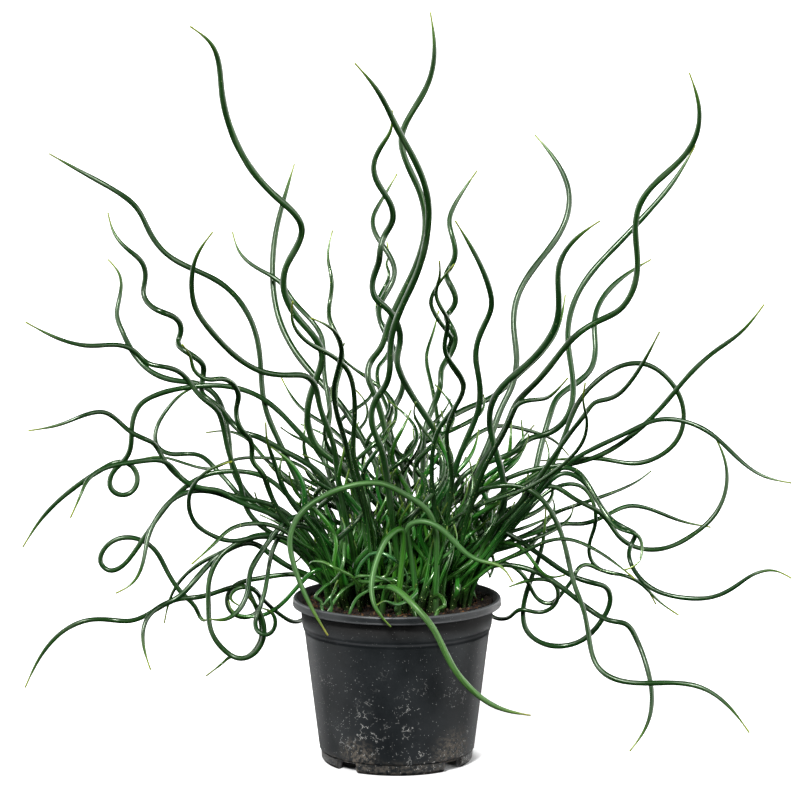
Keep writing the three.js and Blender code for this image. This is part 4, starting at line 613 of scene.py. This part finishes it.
def pot_material():
    """Black moulded plastic with its dirt and its wear, dull inside. Its rim's edges and the
    collar's step are pale partly as painted highlights, and its inner wall is darkened as painted
    shade. Its places are in metres.
    """
    s = Shader("pot_plastic")
    place = s.place()
    height = s.node("SeparateXYZ", {"Vector": place}).outputs["Z"]
    flat = s.scaled(place, (1.0, 1.0, 0.0))
    out = s.node("VectorMath", {0: flat}, operation="LENGTH").outputs["Value"]
    cloud = s.noise(place, 28.0, 4.0, 0.6)
    # The inner wall above the peat, dulled and darkened: the darkening is painted shade.
    inside = s.product(s.ramp(out, 0.0632, 0.0624), s.ramp(height, 0.085, 0.095))
    dirt = pot_dirt(s, place, height)
    colour = s.mix(s.ramp(cloud, 0.35, 0.7), (0.0072, 0.0092, 0.0105), (0.0145, 0.0175, 0.0195))
    for share, strength, tone in (
        # painted shade on the inner wall
        (inside, 0.8, (0.004, 0.0035, 0.003)),
        # the rim's edges, worn and with painted highlights, and a painted highlight on the step
        (pot_wear_and_highlights(s, out, height), 0.6, (0.1, 0.105, 0.11)),
        (dirt, 0.6, (0.17, 0.145, 0.115)),
        (pot_specks(s, place, height), 0.85, (0.5, 0.51, 0.5)),
        (pot_scratches(s, place, height), 0.8, (0.5, 0.5, 0.48)),
    ):
        colour = s.mix(s.product(share, strength), colour, tone)
    dull = s.product(s.largest(dirt, inside), 0.4)
    roughness = s.math("ADD", s.ramp(cloud, 0.3, 0.7, 0.4, 0.5), dull)
    s.bump(s.math("ADD", s.noise(place, 900.0, 2.0), s.product(dirt, 1.5)), 0.12, 0.0004)
    return s.finish(Base_Color=colour, Roughness=roughness, Specular_IOR_Level=0.5)


def peat_material():
    """Damp peat: each crumb has its own brown, broken up by fine noise."""
    s = Shader("peat_fibre")
    place = s.place()
    fine = s.noise(place, 900.0, 4.0, 0.65)
    tint = s.attribute("tint", "Color")
    colour = s.mix(s.ramp(fine, 0.4, 0.6, 0.85, 0.0), tint, (0.005, 0.0035, 0.003))
    s.bump(fine, 0.6, 0.0008)
    return s.finish(Base_Color=colour, Roughness=s.ramp(fine, 0.3, 0.7, 0.7, 0.98),
                    Specular_IOR_Level=0.35)


def floor_material():
    """White card with a glow of its own, the glow left out round the pot's foot to paint its contact
    shadow.
    """
    s = Shader("floor_white")
    cloud = s.noise(s.place(), 0.6, 2.0)
    away = s.node("VectorMath", {0: s.place()}, operation="LENGTH").outputs["Value"]
    colour = s.mix(cloud, (0.9, 0.9, 0.9), (0.93, 0.93, 0.93))
    return s.finish(Base_Color=colour, Roughness=s.ramp(cloud, 0.2, 0.8, 0.75, 0.85),
                    Specular_IOR_Level=0.1, Emission_Color=(1, 1, 1, 1),
                    # painted shadow: the glow fades out towards the pot's foot
                    Emission_Strength=s.ramp(away, *PAINTED_SHADOW_RADII, 0.0, FLOOR_GLOW))


# ---- Pot --------------------------------------------------------------------------------------

def softened(profile, reach):
    """A profile with each inner corner rounded off."""
    points = [np.array(p, float) for p in profile]
    soft = [points[0]]
    for before, corner, after in zip(points, points[1:], points[2:]):
        shorter = min(np.linalg.norm(before - corner), np.linalg.norm(after - corner))
        cut = min(reach, 0.4 * shorter)
        start = corner + unit(before - corner) * cut
        end = corner + unit(after - corner) * cut
        for share in (0, 0.33, 0.67, 1):
            left = 1 - share
            soft.append(left ** 2 * start + 2 * share * left * corner + share ** 2 * end)
    return soft + [points[-1]]


def turned(body, profile, sides):
    """Adds a closed body of revolution. The profile starts and ends on the axis."""
    inner = profile[1:-1]
    angle = TAU * np.arange(sides) / sides
    corners = [[0, 0, profile[0][1]]]
    for radius, z in inner:
        corners += [[radius * math.cos(a), radius * math.sin(a), z] for a in angle]
    corners.append([0, 0, profile[-1][1]])
    last = len(corners) - 1
    faces = []
    for j in range(sides):
        k = (j + 1) % sides
        faces.append((0, 1 + k, 1 + j))
        for i in range(len(inner) - 1):
            a, b = 1 + i * sides, 1 + (i + 1) * sides
            faces.append((a + j, a + k, b + k, b + j))
        faces.append((last, last - sides + j, last - sides + k))
    body.add(corners, faces)


def notch_cutter(across):
    """A block with its top narrowed, set across the foot ring."""
    along = np.cross((0, 0, 1), across)
    near, far = NOTCH_REACH
    shoulder = NOTCH_HEIGHT - NOTCH_CHAMFER
    corners = []
    for z, narrow in ((-CUT_BELOW, 0.0), (shoulder, 0.0), (NOTCH_HEIGHT, NOTCH_CHAMFER)):
        for out, side in ((near, -1), (far, -1), (far, 1), (near, 1)):
            corners.append(out * across + side * (NOTCH_WIDTH / 2 - narrow) * along + (0, 0, z))
    faces = [(3, 2, 1, 0), (8, 9, 10, 11)]
    for a in (0, 4):
        faces += [(a + j, a + (j + 1) % 4, a + 4 + (j + 1) % 4, a + 4 + j) for j in range(4)]
    cutter = Body()
    cutter.add(corners, faces)
    return cutter


def drain_cutter(across):
    """A drainage hole through the base."""
    cutter = Body()
    profile = [[0, 0], [DRAIN_RADIUS, 0], [DRAIN_RADIUS, DRAIN_TOP], [0, DRAIN_TOP]]
    turned(cutter, profile, DRAIN_SIDES)
    cutter.corners[0] = cutter.corners[0] + DRAIN_RING * across
    return cutter


def make_pot():
    profile = [[0, BASE_UNDER], [FOOT_INSIDE, BASE_UNDER], *POT_OUTSIDE, *POT_INSIDE]
    profile += [[BASE_RADIUS, BASE_TOP], [0, BASE_TOP]]
    body = Body()
    turned(body, softened(profile, CORNER_ROUNDING), POT_SIDES)
    plastic = pot_material()
    pot = body.build("pot_shell", plastic)
    cutters = []
    for i in range(NOTCHES):
        angle = (i + 0.5) / NOTCHES * TAU + NOTCH_TURN
        across = np.array([math.cos(angle), math.sin(angle), 0.0])
        cutters.append(notch_cutter(across).build("cut_notch", plastic))
        cutters.append(drain_cutter(across).build("cut_drain", plastic))
    for cutter in cutters:
        cut = pot.modifiers.new("cut", "BOOLEAN")
        cut.operation, cut.solver, cut.object = "DIFFERENCE", "EXACT", cutter
    ready = pot.evaluated_get(bpy.context.evaluated_depsgraph_get())
    mesh = bpy.data.meshes.new_from_object(ready)
    pot.modifiers.clear()
    pot.data = mesh
    for cutter in cutters:
        bpy.data.objects.remove(cutter)
    mesh.shade_smooth()
    mesh.set_sharp_from_angle(angle=math.radians(SHARP_FROM))
    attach(pot, "root")
    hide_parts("pot")


# ---- Peat -------------------------------------------------------------------------------------

def peat_height(x, y):
    """The top of the peat: gentle hollows and small lumps, banked up by the wall."""
    out = math.hypot(x, y)
    bank = min(1.0, max(0.0, (out - PEAT_BANK[0]) / (PEAT_BANK[1] - PEAT_BANK[0])))
    height = PEAT_LEVEL - (out / PEAT_BANK[1]) ** 2 + BANK_RISE * bank ** 2
    for scale, rise, layer in PEAT_WAVES:
        height += rise * noise.noise(Vector((x * scale, y * scale, layer)))
    return height


def peat_edge(angle):
    """The radius at which the banked peat ends, just short of the pot's wall."""
    height = peat_height(PEAT_RADIUS * math.cos(angle), PEAT_RADIUS * math.sin(angle))
    return PEAT_RADIUS + WALL_SLOPE * max(0.0, height - WALL_OPENS_AT)


def somewhere(random, within):
    """A random place on the peat, inside a circle round the pot's axis."""
    angle, out = TAU * random.random(), within * math.sqrt(random.random())
    return out * math.cos(angle), out * math.sin(angle)


def add_plug(body, random):
    """Adds the plug of peat, its surface in rings of corners that each have their own brown."""
    corners, faces, tints = [[0, 0, peat_height(0, 0)]], [], [PEAT_BROWN]
    rings = [((i + 1) / PEAT_RINGS, None) for i in range(PEAT_RINGS)] + PEAT_SIDE
    for reach, z in rings:
        for j in range(PEAT_SPOKES):
            angle = TAU * j / PEAT_SPOKES
            radius = reach * peat_edge(angle) if z is None else reach
            x, y = radius * math.cos(angle), radius * math.sin(angle)
            corners.append([x, y, peat_height(x, y) if z is None else z])
            tints.append(PEAT_BLACK + (PEAT_BROWN - PEAT_BLACK) * random.random())
    corners.append([0, 0, PEAT_UNDER])
    tints.append(PEAT_BLACK)
    last = len(corners) - 1
    for j in range(PEAT_SPOKES):
        k = (j + 1) % PEAT_SPOKES
        faces.append((0, 1 + j, 1 + k))
        for i in range(len(rings) - 1):
            a, b = 1 + i * PEAT_SPOKES, 1 + (i + 1) * PEAT_SPOKES
            faces.append((a + j, b + j, b + k, a + k))
        faces.append((last, last - PEAT_SPOKES + k, last - PEAT_SPOKES + j))
    body.add(corners, faces, np.array(tints))


def add_crumbs(body, random):
    """Adds crumbs of peat, each a dented icosahedron."""
    gold = (1 + math.sqrt(5)) / 2
    ball = np.array([(-1, gold, 0), (1, gold, 0), (-1, -gold, 0), (1, -gold, 0),
                     (0, -1, gold), (0, 1, gold), (0, -1, -gold), (0, 1, -gold),
                     (gold, 0, -1), (gold, 0, 1), (-gold, 0, -1), (-gold, 0, 1)]) / 1.9
    faces = [(0, 11, 5), (0, 5, 1), (0, 1, 7), (0, 7, 10), (0, 10, 11), (1, 5, 9), (5, 11, 4),
             (11, 10, 2), (10, 7, 6), (7, 1, 8), (3, 9, 4), (3, 4, 2), (3, 2, 6), (3, 6, 8),
             (3, 8, 9), (4, 9, 5), (2, 4, 11), (6, 2, 10), (8, 6, 7), (9, 8, 1)]
    for _ in range(CRUMBS):
        x, y = somewhere(random, CRUMBS_WITHIN)
        size = 0.3 + random.random() ** 3
        lump = ball * size * (0.7 + 0.6 * random.random((len(ball), 3)))
        lump += (x, y, peat_height(x, y) + size * 0.25)
        tint = PEAT_BLACK + (PEAT_BROWN - PEAT_BLACK) * 1.3 * random.random()
        chance = random.random()
        if chance < RUSTY_SHARE + STRAW_SHARE:
            tint = tint + ((RUST if chance < RUSTY_SHARE else STRAW) - tint) * 0.7
        body.add(lump, faces, tint)


def add_fibres(body, random):
    """Adds bits of root and moss that lie on the peat."""
    for _ in range(FIBRES):
        x, y = somewhere(random, FIBRES_WITHIN)
        heading, curl = TAU * random.random(), random.normal() * 0.35
        length, thick = 1.5 + 5.0 * random.random() ** 2, between(random, 0.12, 0.26)
        points = []
        for _ in range(FIBRE_KNOTS):
            points.append([x, y, peat_height(x, y) + between(random, 0.35, 0.85)])
            heading += curl
            x += math.cos(heading) * length / (FIBRE_KNOTS - 1)
            y += math.sin(heading) * length / (FIBRE_KNOTS - 1)
            if math.hypot(x, y) > PEAT_RADIUS - 1:
                break
        if len(points) > 2:
            tint = PEAT_BROWN + (RUST - PEAT_BROWN) * random.random()
            shades = np.broadcast_to(tint, (len(points), 3))
            widths = np.full(len(points), thick)
            sweep(body, np.array(points), widths, shades, sides=4, ridge=0.0)


def make_peat():
    random = np.random.default_rng(PEAT_SEED)
    body = Body()
    add_plug(body, random)
    add_crumbs(body, random)
    add_fibres(body, random)
    peat = body.build("peat_plug", peat_material())
    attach(peat, "root")
    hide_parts("soil")


# ---- Stems ------------------------------------------------------------------------------------

def fanned_shoot(random, lengths, radii, spread, coil):
    """Knots, radius and root of a shoot that fans out from the middle of the tussock."""
    root = np.array([0.0, -PEAT_RADIUS])
    while root[1] < BARE_FRONT - 0.5 * root[0]:
        angle, out = TAU * random.random(), SHOOTS_WITHIN * math.sqrt(random.random())
        root = SHOOTS_MIDDLE + out * np.array([math.cos(angle), SHOOTS_DEPTH * math.sin(angle)])
    length = between(random, *lengths) * (1 - 0.3 * out / SHOOTS_WITHIN)
    lean = root / SHOOTS_WITHIN * spread * between(random, 0.3, 1.0)
    lean = lean + random.normal(size=2) * 0.1
    lean[1] = max(lean[1], LEAN_TO_FRONT)
    reach, turn = coil * between(random, 0.3, 1.0), TAU / between(random, *COIL_LENGTHS)
    phase = TAU * random.random()
    far = np.linspace(0, length, max(5, round(length / KNOT_GAP)))
    swing = reach * np.clip(far / COIL_FROM, 0, 1)
    gained = far * (0.6 + 0.4 * far / length)
    knots = np.stack([
        root[0] + lean[0] * gained + swing * np.cos(phase + turn * far),
        root[1] + lean[1] * gained + swing * np.sin(phase + turn * far),
        PEAT_TOP - SHOOT_ROOT + far * math.sqrt(max(0.35, 1 - lean @ lean)),
    ], axis=1)
    return knots, between(random, *radii), root


def young_shoot(random):
    return fanned_shoot(random, **YOUNG)


def tall_shoot(random):
    return fanned_shoot(random, **TALL)


def front_shoot(random):
    """A short shoot in front of the tussock's right half, where the arching stems rise."""
    knots, radius, _ = fanned_shoot(random, **FRONT)
    root = np.array([between(random, *span) for span in FRONT_ROOTS])
    knots[:, :2] += root - knots[0, :2]
    knots[:, 0] += FRONT_LEAN * (knots[:, 2] - knots[0, 2])
    return knots, radius, root


def small_curl(random):
    """Knots, radius and root of a small stem that wanders out of the tussock and curls."""
    side = CURLY_SIDE if random.random() < CURLY_SHARE else (0.0, TAU)
    angle = between(random, *side)
    outward = np.array([math.cos(angle), math.sin(angle), 0])
    place = outward * between(random, *CURL_ROOTS) + (0, 3, PEAT_TOP - SHOOT_ROOT)
    heading = unit(outward * between(random, 0.2, 1.0) + (0, 0, 1))
    axis = unit(random.normal(size=3))
    knots = [place]
    for _ in range(round(between(random, *CURL_LENGTHS) / CURL_STEP)):
        axis = unit(axis + random.normal(size=3) * 0.35)
        heading = unit(heading + np.cross(axis, heading) * between(random, *CURL_TURN))
        if place[2] < PEAT_TOP + CURL_LIFT:
            heading = unit(heading + (0, 0, 0.4))
        place = place + heading * CURL_STEP
        reach = math.hypot(place[0], place[1])
        if place[2] < CURLS_OVER and reach > CURLS_WITHIN:
            place = place * (CURLS_WITHIN / reach, CURLS_WITHIN / reach, 1)
        knots.append(place)
    return np.array(knots), between(random, *CURL_RADII), knots[0][:2]


def make_stems():
    random = np.random.default_rng(STEM_SEED)
    # Each stem material: its roughness, its share of flecks and of painted highlight lines, its
    # gloss and its sheen.
    materials = {
        "dark": stem_material("stem_dark_green", 0.27, 0.3, 0.6, (0.86, 1.0, 0.8)),
        "light": stem_material("stem_light_green", 0.45, 0.15, 0.7, (0.8, 1.0, 0.7)),
        "young": stem_material("stem_young_green", 0.19, 0.95, 0.9, (0.8, 1.0, 0.7)),
    }
    crowns, bodies = {}, {}
    for node in sorted(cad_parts):
        if node in ("pot", "soil"):
            continue
        corners, stems = solid_stems(node)
        bodies[node] = Body()
        kind = "light" if node in LIGHT_STEMS else "dark"
        if node.startswith("tuft"):
            inside = np.hypot(corners[:, 0], corners[:, 1]) < CROWN_WITHIN
            crowns[node] = corners[inside & (corners[:, 2] < CROWN_BELOW)].mean(axis=0)
            stems = [(rooted(centres, crowns[node]), radius) for centres, radius in stems]
        for centres, radius in stems:
            short = travelled(centres)[-1] < LONG_FROM
            tip = centres[-1]
            blunt = node in BLUNT_STEMS and tip[2] < BLUNT_UNDER
            inner = math.hypot(tip[0], tip[1]) < TUSSOCK_RADIUS and tip[2] < TUSSOCK_HEIGHT
            looks = "young" if short else "tall" if kind == "dark" and (inner or blunt) else kind
            grow(bodies[node], centres, radius, looks, random.random(), blunt=blunt)
    for make, count, kind, slim in (
        (young_shoot, YOUNG_SHOOTS, "young", 0.3), (tall_shoot, TALL_SHOOTS, "tall", 0.15),
        (front_shoot, FRONT_SHOOTS, "tall", 0.3), (small_curl, SMALL_CURLS, "curl", 0.1),
    ):
        for _ in range(count):
            knots, radius, root = make(random)
            nearest = min(crowns, key=lambda node: np.linalg.norm(crowns[node][:2] - root))
            grow(bodies[nearest], knots, radius, kind, random.random(), slim, SHOOT_SIDES)
    for node, body in bodies.items():
        kind = "light" if node in LIGHT_STEMS else "young" if node in crowns else "dark"
        piece = body.build("rush_" + node, materials[kind])
        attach(piece, "root")
        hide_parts(node)


# ---- Studio -----------------------------------------------------------------------------------

def make_studio():
    scene = bpy.context.scene
    scene.view_settings.view_transform = "Standard"
    world = bpy.data.worlds.new("studio")
    world.use_nodes = True
    world.node_tree.nodes["Background"].inputs["Color"].default_value = (1, 1, 1, 1)
    world.cycles_visibility.diffuse = False
    world.cycles_visibility.glossy = False
    scene.world = world

    corners, faces = [[0, 0, 0]], []
    for i in range(FLOOR_SIDES):
        angle = TAU * i / FLOOR_SIDES
        corners.append([FLOOR_RADIUS * math.cos(angle), FLOOR_RADIUS * math.sin(angle), 0])
        faces.append((0, 1 + i, 1 + (i + 1) % FLOOR_SIDES))
    mesh = bpy.data.meshes.new("floor")
    mesh.from_pydata(corners, [], faces)
    mesh.materials.append(floor_material())
    floor = bpy.data.objects.new("floor", mesh)
    scene.collection.objects.link(floor)
    floor.visible_diffuse = False
    floor.visible_glossy = False

    for name, (strength, width, source, reflected) in LIGHTS.items():
        light = bpy.data.lights.new(name, "SUN")
        light.energy = strength
        light.angle = math.radians(width)
        lamp = bpy.data.objects.new(name, light)
        lamp.rotation_euler = Vector(source).to_track_quat("Z", "Y").to_euler()
        lamp.visible_glossy = reflected
        scene.collection.objects.link(lamp)

    camera = bpy.data.objects.new("camera", bpy.data.cameras.new("camera"))
    camera.data.sensor_width = SENSOR_WIDTH
    camera.data.lens = LENS
    camera.location = Vector(EYE) * MM
    camera.rotation_euler = (math.radians(90 - PITCH_DOWN), 0, 0)
    camera.data.clip_end = CLIP_END
    scene.collection.objects.link(camera)
    scene.camera = camera


make_studio()
make_pot()
make_peat()
make_stems()
